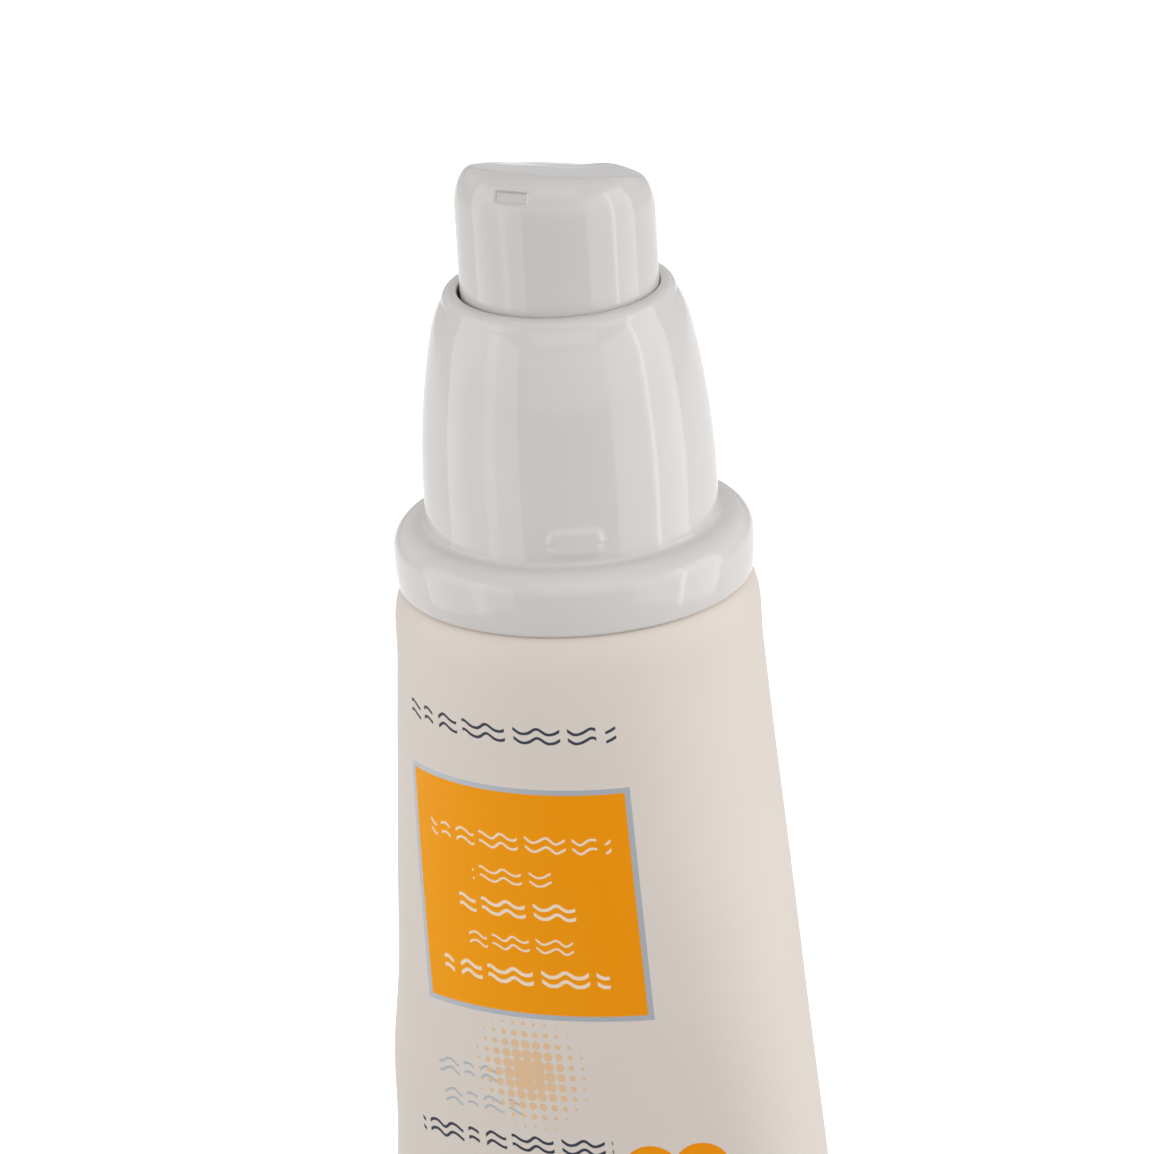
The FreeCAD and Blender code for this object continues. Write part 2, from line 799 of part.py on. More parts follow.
def make_stem():
    """A tube that carries the button. Its collar stops under the guide bush, and four
    ports above its plug let the cream in when the piston uncovers them."""
    bore = size("stem_bore")
    body = new_body("stem")
    revolve(body, "stem_turn", (
        (bore, stem_bottom),
        (stem_radius, stem_bottom),
        (stem_radius, stem_collar_bottom),
        (size("stem_collar_radius"), stem_collar_bottom),
        (size("stem_collar_radius"), stem_collar_top),
        (stem_radius, stem_collar_top),
        (stem_radius, stem_top),
        (bore, stem_top),
    ))
    port_radius = size("port_radius")
    outline = draw_circle(new_sketch(body, "port_section"), port_radius,
                          y=stem_bottom + port_radius + stop_gap * 2)
    port = pocket(body, outline, "port_pair", stem_radius * 3, midplane=True)
    around(body, port, "ports", 2, angle=90)
    return body


def make_stem_plug():
    """Closes the stem's lower end: a disc that the piston seats on and a fluted shank
    that is pressed into the stem's bore."""
    shank_radius = size("stem_bore") - press_gap
    shank_top = stem_bottom + size("shank_length")
    body = new_body("stem_plug")
    revolve(body, "plug_turn", (
        (0, plug_bottom),
        (size("stem_collar_radius") - stop_gap * 4, plug_bottom),
        (size("stem_collar_radius"), plug_bottom + stop_gap * 4),
        (size("stem_collar_radius"), stem_bottom),
        (shank_radius, stem_bottom),
        (shank_radius, shank_top - stop_gap * 4),
        (shank_radius - stop_gap * 4, shank_top),
        (0, shank_top),
    ))
    outline = draw_circle(new_sketch(body, "flute_section", "XY_Plane", lift=shank_top),
                          size("flute_radius"), y=-shank_radius)
    flute = pocket(body, outline, "flute", size("shank_length"))
    around(body, flute, "flutes", 4)
    return body


def make_piston():
    """Slides a little on the stem and seals the cylinder with two thin lips that lie
    round its hub in open grooves."""
    hub = stem_slide + size("piston_hub")
    lip_outside = size("cylinder_bore") - running_gap / 2
    lip_inside = lip_outside - size("piston_lip")
    waist = lip_outside - size("piston_lip") / 4
    groove = size("piston_groove")
    lip_band = groove / 3
    body = new_body("piston")
    revolve(body, "piston_turn", (
        (stem_slide, piston_bottom),
        (hub, piston_bottom),
        (hub, piston_bottom + groove),
        (lip_inside, piston_bottom + groove),
        (lip_inside, piston_bottom),
        (lip_outside, piston_bottom),
        (lip_outside, piston_bottom + lip_band),
        (waist, piston_bottom + lip_band * 2),
        (waist, piston_top - lip_band * 2),
        (lip_outside, piston_top - lip_band),
        (lip_outside, piston_top),
        (lip_inside, piston_top),
        (lip_inside, piston_top - groove),
        (hub, piston_top - groove),
        (hub, piston_top),
        (stem_slide, piston_top),
    ))
    return body


# ---------------------------------------------------------------- the spring

def quarter_points(start, end, start_way, end_way):
    """Two arcs that run into each other between two points with given headings: the
    middle of the first, where they meet, and the middle of the second."""
    gap = end - start
    total = start_way + end_way
    a = 2 * (start_way.dot(end_way) - 1)
    b = -2 * gap.dot(total)
    c = gap.dot(gap)
    reach = (-b - math.sqrt(b * b - 4 * a * c)) / (2 * a)
    first_knee = start + start_way * reach
    last_knee = end - end_way * reach
    meeting = (first_knee + last_knee) / 2
    middles = []
    for near, knee, far in ((start, first_knee, meeting), (meeting, last_knee, end)):
        chord_middle = (near + far) / 2
        half = (far - near).Length / 2
        height = (knee - chord_middle).Length
        rise = half * math.tan(math.atan2(height, half) / 2)
        middles.append(chord_middle + (knee - chord_middle).normalize() * rise)
    return middles[0], meeting, middles[1]


def make_spring():
    """A wound steel wire with a closed turn at each end: half turns of two arcs each,
    climbing gently in the end turns and evenly between them."""
    wire_radius = size("wire_radius").value
    radius = size("spring_radius").value
    turns = count("spring_turns")
    low = spring_seat.value + wire_radius
    high = boss_bottom.value - wire_radius
    closed_climb = wire_radius * 2 * 1.08
    open_climb = (high - low - 2 * closed_climb) / (turns - 2)
    steps = turns * 2
    climbs = []
    for step in range(steps):
        at_end = step < 2 or step >= steps - 2
        climbs.append((closed_climb if at_end else open_climb) / 2)
    points = []
    ways = []
    level = low
    for step in range(steps + 1):
        angle = math.pi * step
        before = climbs[max(step - 1, 0)]
        after = climbs[min(step, steps - 1)]
        slope = (before + after) / 2 / (math.pi * radius)
        points.append(FreeCAD.Vector(radius * math.cos(angle), radius * math.sin(angle), level))
        way = FreeCAD.Vector(-math.sin(angle), math.cos(angle), slope)
        ways.append(way.normalize())
        level += climbs[min(step, steps - 1)]
    edges = []
    for step in range(steps):
        start, end = points[step], points[step + 1]
        side = (start + end) / 2
        out = FreeCAD.Vector(math.cos(math.pi * (step + 0.5)), math.sin(math.pi * (step + 0.5)), 0)
        quarter = FreeCAD.Vector(out.x * radius, out.y * radius, side.z)
        even = FreeCAD.Vector(-out.y, out.x, climbs[step] / (math.pi * radius)).normalize()
        for near, far, near_way, far_way in ((start, quarter, ways[step], even),
                                             (quarter, end, even, ways[step + 1])):
            first, meeting, last = quarter_points(near, far, near_way, far_way)
            edges.append(Part.Arc(near, first, meeting).toShape())
            edges.append(Part.Arc(meeting, last, far).toShape())
    path = Part.Wire(edges)
    ring = Part.Circle(points[0], ways[0], wire_radius).toShape()
    coil = path.makePipeShell([Part.Wire([ring])], True, False)
    print("spring: wire length %.1f, volume %.2f against %.2f, least gap in the end turns %.2f"
          % (path.Length, coil.Volume, math.pi * wire_radius ** 2 * path.Length,
             closed_climb - 2 * wire_radius))
    spring = document.addObject("Part::Feature", "return_spring")
    spring.Shape = coil
    spring.Placement = FreeCAD.Placement()
    return spring


# ---------------------------------------------------------------- the button

def slanted_cut(body, name, level_at_axis, half_width, back_reach):
    """Cuts away what lies above a plane that falls towards the back, from the front to
    a distance behind the axis."""
    reach = button_radius * 1.5
    above = level_at_axis + reach * 1.5
    sketch = new_sketch(body, name + "_section", "YZ_Plane")
    draw(sketch, (
        (-reach, level_at_axis + reach * top_slope),
        (back_reach, level_at_axis - back_reach * top_slope),
        (back_reach, above),
        (-reach, above),
    ))
    return pocket(body, sketch, name, half_width * 2, midplane=True)


def half_rings(sketch, radius):
    """A circle of two half arcs that meet at the front and at the back, so that each
    runs from the nozzle's side to the rear."""
    front = FreeCAD.Vector(0, -radius.value, 0)
    back = FreeCAD.Vector(0, radius.value, 0)
    side = FreeCAD.Vector(radius.value, 0, 0)
    right = sketch.addGeometry(Part.Arc(front, side, back), False)
    left = sketch.addGeometry(Part.Arc(back, -side, front), False)
    sketch.addConstraint(Sketcher.Constraint("Coincident", right, 3, -1, 1))
    sketch.addConstraint(Sketcher.Constraint("PointOnObject", right, 1, -2))
    sketch.addConstraint(Sketcher.Constraint("PointOnObject", right, 2, -2))
    sketch.addConstraint(Sketcher.Constraint("Coincident", right, 2, left, 1))
    sketch.addConstraint(Sketcher.Constraint("Coincident", left, 2, right, 1))
    sketch.addConstraint(Sketcher.Constraint("PointOnObject", left, 3, -2))
    number = sketch.addConstraint(Sketcher.Constraint("Radius", right, radius.value))
    sketch.setExpression(f"Constraints[{number}]", radius.formula)


def make_button():
    """A shell with a sloping top whose edge is rounded more towards the rear. Inside, a
    boss takes the stem, and a channel under the top leads to the slot in front."""
    button_height = top_at_axis + button_radius - button_bottom
    blank = new_body("button_blank")
    outline = new_sketch(blank, "button_section", "XY_Plane", lift=button_bottom)
    half_rings(outline, button_radius)
    # the two halves stay apart, so that each has its own edge to round
    pad(blank, outline, "button_pad", button_height).Refine = False
    past_the_edge = button_radius * 1.5
    slanted_cut(blank, "button_top", top_at_axis, past_the_edge, past_the_edge).Refine = False
    document.recompute()
    rounded = document.addObject("Part::Fillet", "button_rounded")
    rounded.Base = blank
    rounded.Edges = top_edges(blank.Shape)

    core = new_body("button_core")
    core_radius = button_radius - size("button_wall")
    outline = new_sketch(core, "core_section", "XY_Plane", lift=button_bottom - 1)
    draw_circle(outline, core_radius)
    pad(core, outline, "core_pad", button_height)
    slanted_cut(core, "core_top", top_at_axis - size("button_roof"), past_the_edge, past_the_edge)
    outline = new_sketch(core, "boss_section", "XY_Plane", lift=boss_bottom)
    draw_circle(outline, size("boss_radius"))
    pocket(core, outline, "boss_room", button_height, backwards=True)
    # the channel is a bar under the roof, from the boss to the front
    slanted_cut(core, "channel_room", channel_at_axis - size("channel_radius") * 2,
                size("channel_block") / 2, as_size(0))

    socket = cylinder("stem_socket", stem_slide, stem_top + stop_gap - boss_bottom + 1,
                      z=boss_bottom - 1)
    riser = cylinder("riser", size("stem_bore"), channel_at_axis - stem_top, z=stem_top)
    channel_run = insert_back + size("insert_depth") / 2
    channel = document.addObject("Part::Cylinder", "channel")
    bind(channel, Radius=size("channel_radius"), Height=channel_run)
    channel.Placement.Rotation = FreeCAD.Rotation(FreeCAD.Vector(1, 0, 0), 90)
    channel.setExpression("Placement.Rotation.Angle", f"90 - {size('button_slope').formula}")
    place(channel, z=channel_at_axis)
    room = block("insert_room", size("insert_width"), size("insert_depth"),
                 size("insert_height"), 0, -insert_front, nozzle_level)
    window = block("slot_window", size("slot_width"), size("slot_depth") * 2,
                   size("slot_height"), 0, -insert_front - size("slot_depth") * 2 + press_gap,
                   nozzle_level)
    tools = boolean("MultiFuse", "button_tools", core, socket, riser, channel, room, window)
    return boolean("Cut", "actuator_button", rounded, tools)


def top_edges(shape):
    """The two edges round the sloping top, rounded from the front to the rear."""
    front = size("front_rounding").value
    rear = size("rear_rounding").value
    chosen = []
    for number, edge in enumerate(shape.Edges, start=1):
        first = edge.valueAt(edge.FirstParameter)
        last = edge.valueAt(edge.LastParameter)
        spans = abs(abs(first.y - last.y) - 2 * button_radius.value) < 1e-3
        if spans and min(first.z, last.z) > button_bottom.value + 1:
            sizes = (front, rear) if first.y < last.y else (rear, front)
            chosen.append((number, sizes[0], sizes[1]))
    return chosen


def make_nozzle_insert():
    """A small plug behind the slot. The slit under the slot's upper edge shapes the
    ribbon of cream."""
    slit_through = size("insert_depth") + 1
    slit_level = nozzle_level + (size("slot_height") - size("slit_height")) / 2
    plug = block("insert_block", size("insert_width") - press_gap * 2,
                 size("insert_depth") - press_gap, size("insert_height") - press_gap * 2,
                 0, -insert_front, nozzle_level)
    slit = block("insert_slit", size("slit_width"), slit_through, size("slit_height"),
                 0, -insert_front - press_gap * 2, slit_level)
    return boolean("Cut", "nozzle_insert", plug, slit)


# ---------------------------------------------------------------- build, check, write

parts = [
    make_sleeve(),
    make_head(),
    make_gasket(),
    make_pump_cylinder(),
    make_ball(),
    make_guide_bush(),
    make_closure(),
    make_collar(),
    make_stem(),
    make_stem_plug(),
    make_piston(),
    make_spring(),
    make_button(),
    make_nozzle_insert(),
]
document.recompute()

for item in document.Objects:
    for fault in ("Invalid", "Error"):
        if fault in item.State:
            raise RuntimeError(f"{item.Name} is {fault}")
for part in parts:
    if part.Shape.isNull() or not part.Shape.isValid() or len(part.Shape.Solids) != 1:
        raise RuntimeError(f"{part.Label} is not one valid solid")

os.makedirs("parts", exist_ok=True)
for part in parts:
    part.Shape.exportStep(f"parts/{part.Label}.step")
    box = part.Shape.BoundBox
    print("%-16s volume %9.2f  x %7.2f %7.2f  y %7.2f %7.2f  z %7.2f %7.2f" % (
        part.Label, part.Shape.Volume, box.XMin, box.XMax, box.YMin, box.YMax, box.ZMin, box.ZMax))
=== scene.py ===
import math

import bmesh
import bpy
from mathutils import Matrix, Vector, noise


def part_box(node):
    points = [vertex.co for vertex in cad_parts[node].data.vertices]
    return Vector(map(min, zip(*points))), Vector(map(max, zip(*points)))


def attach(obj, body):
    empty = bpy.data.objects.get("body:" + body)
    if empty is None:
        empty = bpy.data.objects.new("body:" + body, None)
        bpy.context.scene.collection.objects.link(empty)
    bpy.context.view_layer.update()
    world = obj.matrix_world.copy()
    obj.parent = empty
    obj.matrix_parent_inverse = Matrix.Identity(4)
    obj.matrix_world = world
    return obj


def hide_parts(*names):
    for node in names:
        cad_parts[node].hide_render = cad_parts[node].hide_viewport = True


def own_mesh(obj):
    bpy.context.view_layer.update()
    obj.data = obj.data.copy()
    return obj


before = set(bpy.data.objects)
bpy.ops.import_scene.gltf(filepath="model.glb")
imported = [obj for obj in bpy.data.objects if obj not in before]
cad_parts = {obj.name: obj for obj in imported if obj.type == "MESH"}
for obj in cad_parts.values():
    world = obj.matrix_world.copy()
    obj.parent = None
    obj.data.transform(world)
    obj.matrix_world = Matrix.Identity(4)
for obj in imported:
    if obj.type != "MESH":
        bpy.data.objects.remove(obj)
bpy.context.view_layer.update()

# A soft tube with a push pump, put together from the tail seal up. Modelling is done in
# millimetres, with the front of the print at -Y, and each mesh is scaled to metres last.

# ------------------------------------------------------------------ the printed sleeve
# An extruded film of white polyethylene, round where it is welded to the shoulder and
# pressed flat, heated and ribbed at the tail. The front is screen printed with an orange
# panel in a foil frame, and the film has the shallow dents that handling leaves.

MM = 0.001


def box_of(node):
    """The lowest and highest corner of a frame node, in millimetres."""
    low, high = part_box(node)
    return low / MM, high / MM


sleeve_high = box_of("tube_sleeve")[1]
tube_radius = round(sleeve_high.y, 1)
sleeve_top = sleeve_high.z
sleeve_wall = 0.5
band_depth = 3.0
seal_top = 7.0
seal_half_depth = 0.55
girth_power = 0.6
girth = 2 * math.pi * tube_radius
round_end = sleeve_top - band_depth
seal_half_width = girth / 4
spans = 6
columns = 352
row_step = 1.6
ring_ease = 4.0
rib_depth = 0.12
rib_columns = 4
rib_fade = 0.2
shut_height = 3.4
inside_step = 8


def depth_share(level):
    """How deep the flattened tube is at a level: straight spans between the rings that
    keep the girth."""
    along = min(max((round_end - level) / (round_end - seal_top), 0.0), 1.0) * spans
    step = min(int(along), spans - 1)
    upper = (1 - step / spans) ** girth_power
    lower = (1 - (step + 1) / spans) ** girth_power
    return upper + (lower - upper) * (along - step)


def half_widths(level):
    """Half the width and half the depth of the sleeve's outside at a level."""
    if level <= seal_top:
        return seal_half_width, seal_half_depth
    share = min(max((round_end - level) / (round_end - seal_top), 0.0), 1.0)
    ease = min(ring_ease, level - seal_top, max(round_end - level, 0.0) + 0.01)
    deep = sum(depth_share(level + ease * side) for side in (-1, 0, 1)) / 3
    wide = tube_radius + (seal_half_width - tube_radius) * share
    return wide, seal_half_depth + (tube_radius - seal_half_depth) * deep


def oval_point(share, wide, deep):
    """A point of the flattened ring, by its share of the girth from the middle of the
    front: the ring is a flat arc in front and at the back and a tight one at each side."""
    quarter = abs(share) * 4
    behind = quarter > 1
    if behind:
        quarter = 2 - quarter
    if wide - deep < 0.001:
        turn = quarter * math.pi / 2
        x, y = wide * math.sin(turn), deep * math.cos(turn)
    else:
        side = deep * math.sqrt(deep / wide)
        reach = wide - side
        front = (reach ** 2 + deep ** 2 - side ** 2) / (2 * (deep - side))
        corner = math.atan2(reach, front - deep)
        length = quarter * (front * corner + side * (math.pi / 2 - corner))
        if length < front * corner:
            turn = length / front
            x, y = front * math.sin(turn), deep - front + front * math.cos(turn)
        else:
            turn = corner + (length - front * corner) / side
            x, y = reach + side * math.sin(turn), side * math.cos(turn)
    return math.copysign(x, share), y if behind else -y


# dents in the film: millimetres round from the front, millimetres below the sleeve's
# top edge, the dent's reach round and along, and its depth
DENTS = (
    (-25.0, 46.5, 7.0, 5.0, -0.25),
    (-24.0, 36.0, 6.0, 7.0, 0.22),
    (-23.0, 56.0, 7.0, 6.0, 0.18),
    (19.0, 30.0, 9.0, 12.0, 0.12),
    (6.0, 66.0, 12.0, 8.0, 0.3),
    (-14.0, 83.0, 9.0, 9.0, 0.45),
    (17.0, 88.0, 8.0, 10.0, 0.4),
    (47.0, 48.0, 10.0, 14.0, 0.4),
    (-40.0, 78.0, 11.0, 9.0, 0.35),
)
# the film's own slow wave: its depth and its reach round and along, and how far from the
# sleeve's top edge and from the seal the film starts to give
wave_depth = 0.1
wave_around, wave_along = 17.0, 23.0
stiff_top, stiff_seal = 12.0, 14.0


def dent_depth(around, below):
    """How far the film is pushed in at a point of the sleeve."""
    depth = 0.0
    for middle, drop, wide, long, deep in DENTS:
        gap = (around - middle + girth / 2) % girth - girth / 2
        depth += deep * math.exp(-(gap / wide) ** 2 - ((below - drop) / long) ** 2)
    wave = noise.noise(Vector((around / wave_around, below / wave_along, 3.0)))
    above_seal = sleeve_top - seal_top - below
    fade = min(below / stiff_top, 1.0) * min(max(above_seal / stiff_seal, 0.0), 1.0)
    return (depth + wave_depth * wave) * fade


def ring_skin(columns, rows, place):
    """A closed skin of rings: a circle extruded once for each row, whose points then go
    where place(share, row) says. A share runs round from the back, and is 0 in front."""
    bm = bmesh.new()
    share_layer = bm.verts.layers.float.new("share")
    row_layer = bm.verts.layers.int.new("row")
    bmesh.ops.create_circle(bm, segments=columns, radius=1.0)
    for vertex in bm.verts:
        vertex[share_layer] = math.atan2(vertex.co.x, -vertex.co.y) / (2 * math.pi)
    ring = bm.edges[:]
    for number in range(1, len(rows)):
        made = bmesh.ops.extrude_edge_only(bm, edges=ring)["geom"]
        ring = [item for item in made if isinstance(item, bmesh.types.BMEdge)]
        for item in made:
            if isinstance(item, bmesh.types.BMVert):
                item[row_layer] = number
    for vertex in bm.verts:
        vertex.co = place(vertex[share_layer], rows[vertex[row_layer]])
    return bm


def sleeve_place(share, row):
    """A point of the sleeve. A row is its level, its inset from the outside and whether
    the ring is shut to a line."""
    level, inset, shut = row
    wide, deep = half_widths(level)
    x, y = oval_point(share, wide - inset, deep - inset)
    if shut:
        return Vector((x, 0.0, level))
    if inset == 0:
        push = dent_depth(share * girth, sleeve_top - level)
        inwards = Vector((x / wide ** 2, y / deep ** 2)).normalized() * push
        x, y = x - inwards.x, y - inwards.y
        from_rib = abs(round(share * columns) % rib_columns - rib_columns / 2)
        if level < seal_top - rib_fade:
            y -= math.copysign(rib_depth * (1 - from_rib / (rib_columns / 2)), y)
    return Vector((x, y, level))


inside_end = seal_top + shut_height
inside_count = int((round_end - inside_end) / inside_step) + 1
inside_levels = [inside_end + inside_step * step for step in range(inside_count)]
sleeve_rows = [(inside_end, sleeve_wall, True)]
sleeve_rows += [(level, sleeve_wall, False) for level in inside_levels + [sleeve_top - 0.1]]
sleeve_rows += [(sleeve_top, sleeve_wall - 0.1, False), (sleeve_top, 0, False)]
outside_levels = int((sleeve_top - seal_top) / row_step)
for step in range(1, outside_levels):
    sleeve_rows.append((sleeve_top - (sleeve_top - seal_top) * step / outside_levels, 0, False))
for level in (seal_top + 0.5, seal_top, seal_top - 0.15, seal_top - 0.4, 3.5, 0.12):
    sleeve_rows.append((level, 0, False))
sleeve_rows += [(0.0, 0.1, False), (0.0, 0.1, True)]


merge_reach = 0.0005


def into_scene(name, data):
    """Makes an object of a mesh, camera or lamp and puts it in the scene."""
    made = bpy.data.objects.new(name, data)
    bpy.context.scene.collection.objects.link(made)
    return made


def to_object(bm, name, sharp_degrees=32):
    """Closes and smooths a skin and makes it an object of real size in metres."""
    bmesh.ops.remove_doubles(bm, verts=bm.verts, dist=merge_reach)
    bmesh.ops.dissolve_degenerate(bm, edges=bm.edges, dist=0.0002)
    bmesh.ops.recalc_face_normals(bm, faces=bm.faces)
    for face in bm.faces:
        face.smooth = True
    for edge in bm.edges:
        edge.smooth = edge.calc_face_angle(math.pi) < math.radians(sharp_degrees)
    bmesh.ops.scale(bm, vec=Vector((MM, MM, MM)), verts=bm.verts)
    mesh = bpy.data.meshes.new(name)
    bm.to_mesh(mesh)
    bm.free()
    return into_scene(name, mesh)


print_skew = 0.0013


def add_print_map(bm):
    """Unrolls the sleeve: across is millimetres round from the middle of the front, up
    is millimetres from the sleeve's top edge. The print sits slightly askew."""
    share_layer = bm.verts.layers.float["share"]
    unrolled = bm.loops.layers.uv.new("print")
    for face in bm.faces:
        shares = [loop.vert[share_layer] for loop in face.loops]
        over_the_back = max(shares) - min(shares) > 0.5
        for loop, share in zip(face.loops, shares):
            if over_the_back and share < 0:
                share += 1
            across = share * girth
            loop[unrolled].uv = (across, (loop.vert.co.z - sleeve_top) * (1 + print_skew * across))


sleeve_skin = ring_skin(columns, sleeve_rows, sleeve_place)
add_print_map(sleeve_skin)
sleeve = to_object(sleeve_skin, "printed_sleeve")


def paint(red, green, blue):
    """A colour given as 0 to 255 in the usual picture scale, as Blender's own numbers."""
    parts = []
    for part in (red, green, blue):
        part /= 255
        parts.append(part / 12.92 if part <= 0.04045 else ((part + 0.055) / 1.055) ** 2.4)
    return (*parts, 1.0)


def join(tree, value, socket):
    """Links an output to a socket, or sets the socket to a value."""
    if isinstance(value, bpy.types.NodeSocket):
        tree.links.new(value, socket)
    else:
        socket.default_value = value


def add_node(tree, kind, inputs=None, **settings):
    """Adds a node, sets what it is told, and links or sets its inputs."""
    made = tree.nodes.new(kind)
    for name, value in settings.items():
        setattr(made, name, value)
    for name, value in (inputs or {}).items():
        join(tree, value, made.inputs[name])
    return made


def calculate(tree, operation, first, second=0.0, third=0.0, clamp=False):
    """A Math node's result."""
    return add_node(tree, "ShaderNodeMath", {0: first, 1: second, 2: third},
                    operation=operation, use_clamp=clamp).outputs[0]


def cloud(tree, place, scale, detail):
    """A noise texture's value at a place."""
    return add_node(tree, "ShaderNodeTexNoise", {
        "Vector": place, "Scale": scale, "Detail": detail}).outputs[0]


NUMBER = "NodeSocketFloat"
VECTOR = "NodeSocketVector"


def new_group(name, numbers, results, vectors=()):
    """A shader group with named sockets: returns the group, the sockets that it reads
    inside and those that it gives out."""
    group = bpy.data.node_groups.new(name, "ShaderNodeTree")
    for sockets, kind, in_out in ((vectors, VECTOR, "INPUT"), (numbers, NUMBER, "INPUT"),
                                  (results, NUMBER, "OUTPUT")):
        for socket in sockets:
            group.interface.new_socket(socket, in_out=in_out, socket_type=kind)
    return (group, group.nodes.new("NodeGroupInput").outputs,
            group.nodes.new("NodeGroupOutput").inputs)


def use_group(tree, group, inputs):
    """Places a group's node in a tree and joins its inputs."""
    return add_node(tree, "ShaderNodeGroup", inputs, node_tree=group)


# the surface of a moulding or film: a fine skin, slow unevenness and a few specks of dust
moulded_skin, skin_in, skin_out = new_group(
    "moulded_skin", ("Grain", "Grain Depth", "Swell", "Swell Depth", "Dust"),
    ("Height", "Unevenness", "Specks"), vectors=("Place",))
dust_cells = 260.0
largest_speck = 0.05
grain = cloud(moulded_skin, skin_in["Place"], skin_in["Grain"], 3.0)
swell = cloud(moulded_skin, skin_in["Place"], skin_in["Swell"], 1.0)
fine_height = calculate(moulded_skin, "MULTIPLY", grain, skin_in["Grain Depth"])
slow_height = calculate(moulded_skin, "MULTIPLY", swell, skin_in["Swell Depth"])
join(moulded_skin, calculate(moulded_skin, "ADD", fine_height, slow_height),
     skin_out["Height"])
join(moulded_skin, swell, skin_out["Unevenness"])
cells = add_node(moulded_skin, "ShaderNodeTexVoronoi", {
    "Vector": skin_in["Place"], "Scale": dust_cells, "Randomness": 1.0})
chosen_cell = add_node(moulded_skin, "ShaderNodeSeparateColor", {0: cells.outputs["Color"]})
in_chosen = calculate(moulded_skin, "GREATER_THAN", skin_in["Dust"], chosen_cell.outputs[0])
speck_size = calculate(moulded_skin, "MULTIPLY", chosen_cell.outputs[1], largest_speck)
near_middle = calculate(moulded_skin, "LESS_THAN", cells.outputs["Distance"], speck_size)
join(moulded_skin, calculate(moulded_skin, "MULTIPLY", in_chosen, near_middle),
     skin_out["Specks"])

# a printed block: a mask with crisp edges, by its middle and half its size on the print map
printed_block, block_in, block_out = new_group(
    "printed_block", ("Across", "Up", "Middle Across", "Middle Up", "Half Width",
                      "Half Height", "Edge"), ("Mask",))


def crisp(tree, inside, edge):
    """1 where inside is above 0, falling to 0 over the width of a printed edge."""
    return calculate(tree, "ADD", calculate(tree, "DIVIDE", inside, edge), 0.5, clamp=True)


def edge_mask(tree, value, middle, half, edge):
    """1 within half of a middle, with a printed edge."""
    gap = calculate(tree, "ABSOLUTE", calculate(tree, "SUBTRACT", value, middle))
    return crisp(tree, calculate(tree, "SUBTRACT", half, gap), edge)


block_masks = [
    edge_mask(printed_block, block_in[way], block_in["Middle " + way],
              block_in[half], block_in["Edge"])
    for way, half in (("Across", "Half Width"), ("Up", "Half Height"))]
join(printed_block, calculate(printed_block, "MULTIPLY", *block_masks), block_out["Mask"])

# a row of two low parallel waves, broken by two sets of gaps of unlike pitch
ROW_SOCKETS = ("Middle Across", "Middle Up", "Half Width", "Half Height", "Stroke", "Pitch")
waved_row, wave_in, wave_out = new_group(
    "waved_row", ("Across", "Up", *ROW_SOCKETS, "Edge"), ("Mask",))
wave_share = 0.35
swell_share = 0.1
swell_rate = 2.3
apart_share = 0.6
# each set of gaps: its pitch in waves, and the gap's share of that
WORD_GAPS = ((2.118, 0.13), (3.427, 0.1))


def in_row(operation, *values, clamp=False):
    """A Math node's result in the waved row's group."""
    return calculate(waved_row, operation, *values, clamp=clamp)


wave_across = wave_in["Across"]
wave_pitch = wave_in["Pitch"]
wave_edge = wave_in["Edge"]
row_half_height = wave_in["Half Height"]
phase = in_row("MULTIPLY", wave_across, in_row("DIVIDE", 2 * math.pi, wave_pitch))
swelling = in_row("MULTIPLY_ADD", in_row("SINE", in_row("MULTIPLY", wave_across, swell_rate)),
                  swell_share, wave_share)
wave_height = in_row("MULTIPLY", swelling, row_half_height)
wave_level = in_row("MULTIPLY_ADD", in_row("SINE", phase), wave_height, wave_in["Middle Up"])
steepness = in_row("DIVIDE", in_row("MULTIPLY", in_row("COSINE", phase), wave_height),
                   in_row("DIVIDE", wave_pitch, 2 * math.pi))
slant = in_row("SQRT", in_row("MULTIPLY_ADD", steepness, steepness, 1.0))
from_wave = in_row("ABSOLUTE", in_row("SUBTRACT", wave_in["Up"], wave_level))
apart = in_row("MULTIPLY", row_half_height, apart_share)
stroke_gap = in_row("DIVIDE", in_row("ABSOLUTE", in_row("SUBTRACT", from_wave, apart)), slant)
in_stroke = in_row("SUBTRACT", wave_in["Stroke"], stroke_gap)
row_mask = in_row(
    "MULTIPLY", crisp(waved_row, in_stroke, wave_edge),
    edge_mask(waved_row, wave_across, wave_in["Middle Across"],
              wave_in["Half Width"], wave_edge))
for waves, gap_share in WORD_GAPS:
    word_pitch = in_row("MULTIPLY", wave_pitch, waves)
    in_word = in_row("GREATER_THAN", in_row("FRACT", in_row("DIVIDE", wave_across, word_pitch)),
                     gap_share)
    row_mask = in_row("MULTIPLY", row_mask, in_word)
join(waved_row, row_mask, wave_out["Mask"])

orange_ink = paint(255, 166, 0)
orange_dark = paint(252, 152, 0)
orange_pale = paint(250, 170, 20)
foil_silver = paint(192, 199, 206)
pale_ink = paint(252, 232, 205)
slate_ink = paint(66, 70, 82)
peach_ink = paint(236, 200, 160)
mist_ink = paint(188, 192, 198)
film_low = paint(226, 216, 207)
film_high = paint(233, 224, 215)
dust_grey = paint(150, 138, 128)
print_edge = 0.05
panel_middle = (-0.95, -24.25)
panel_half = (11.95, 11.95)
foil_width = 0.55
# the panel's orange deepens to the right: its rise per millimetre, and its share in the middle
orange_rise = 0.035
orange_share = 0.45
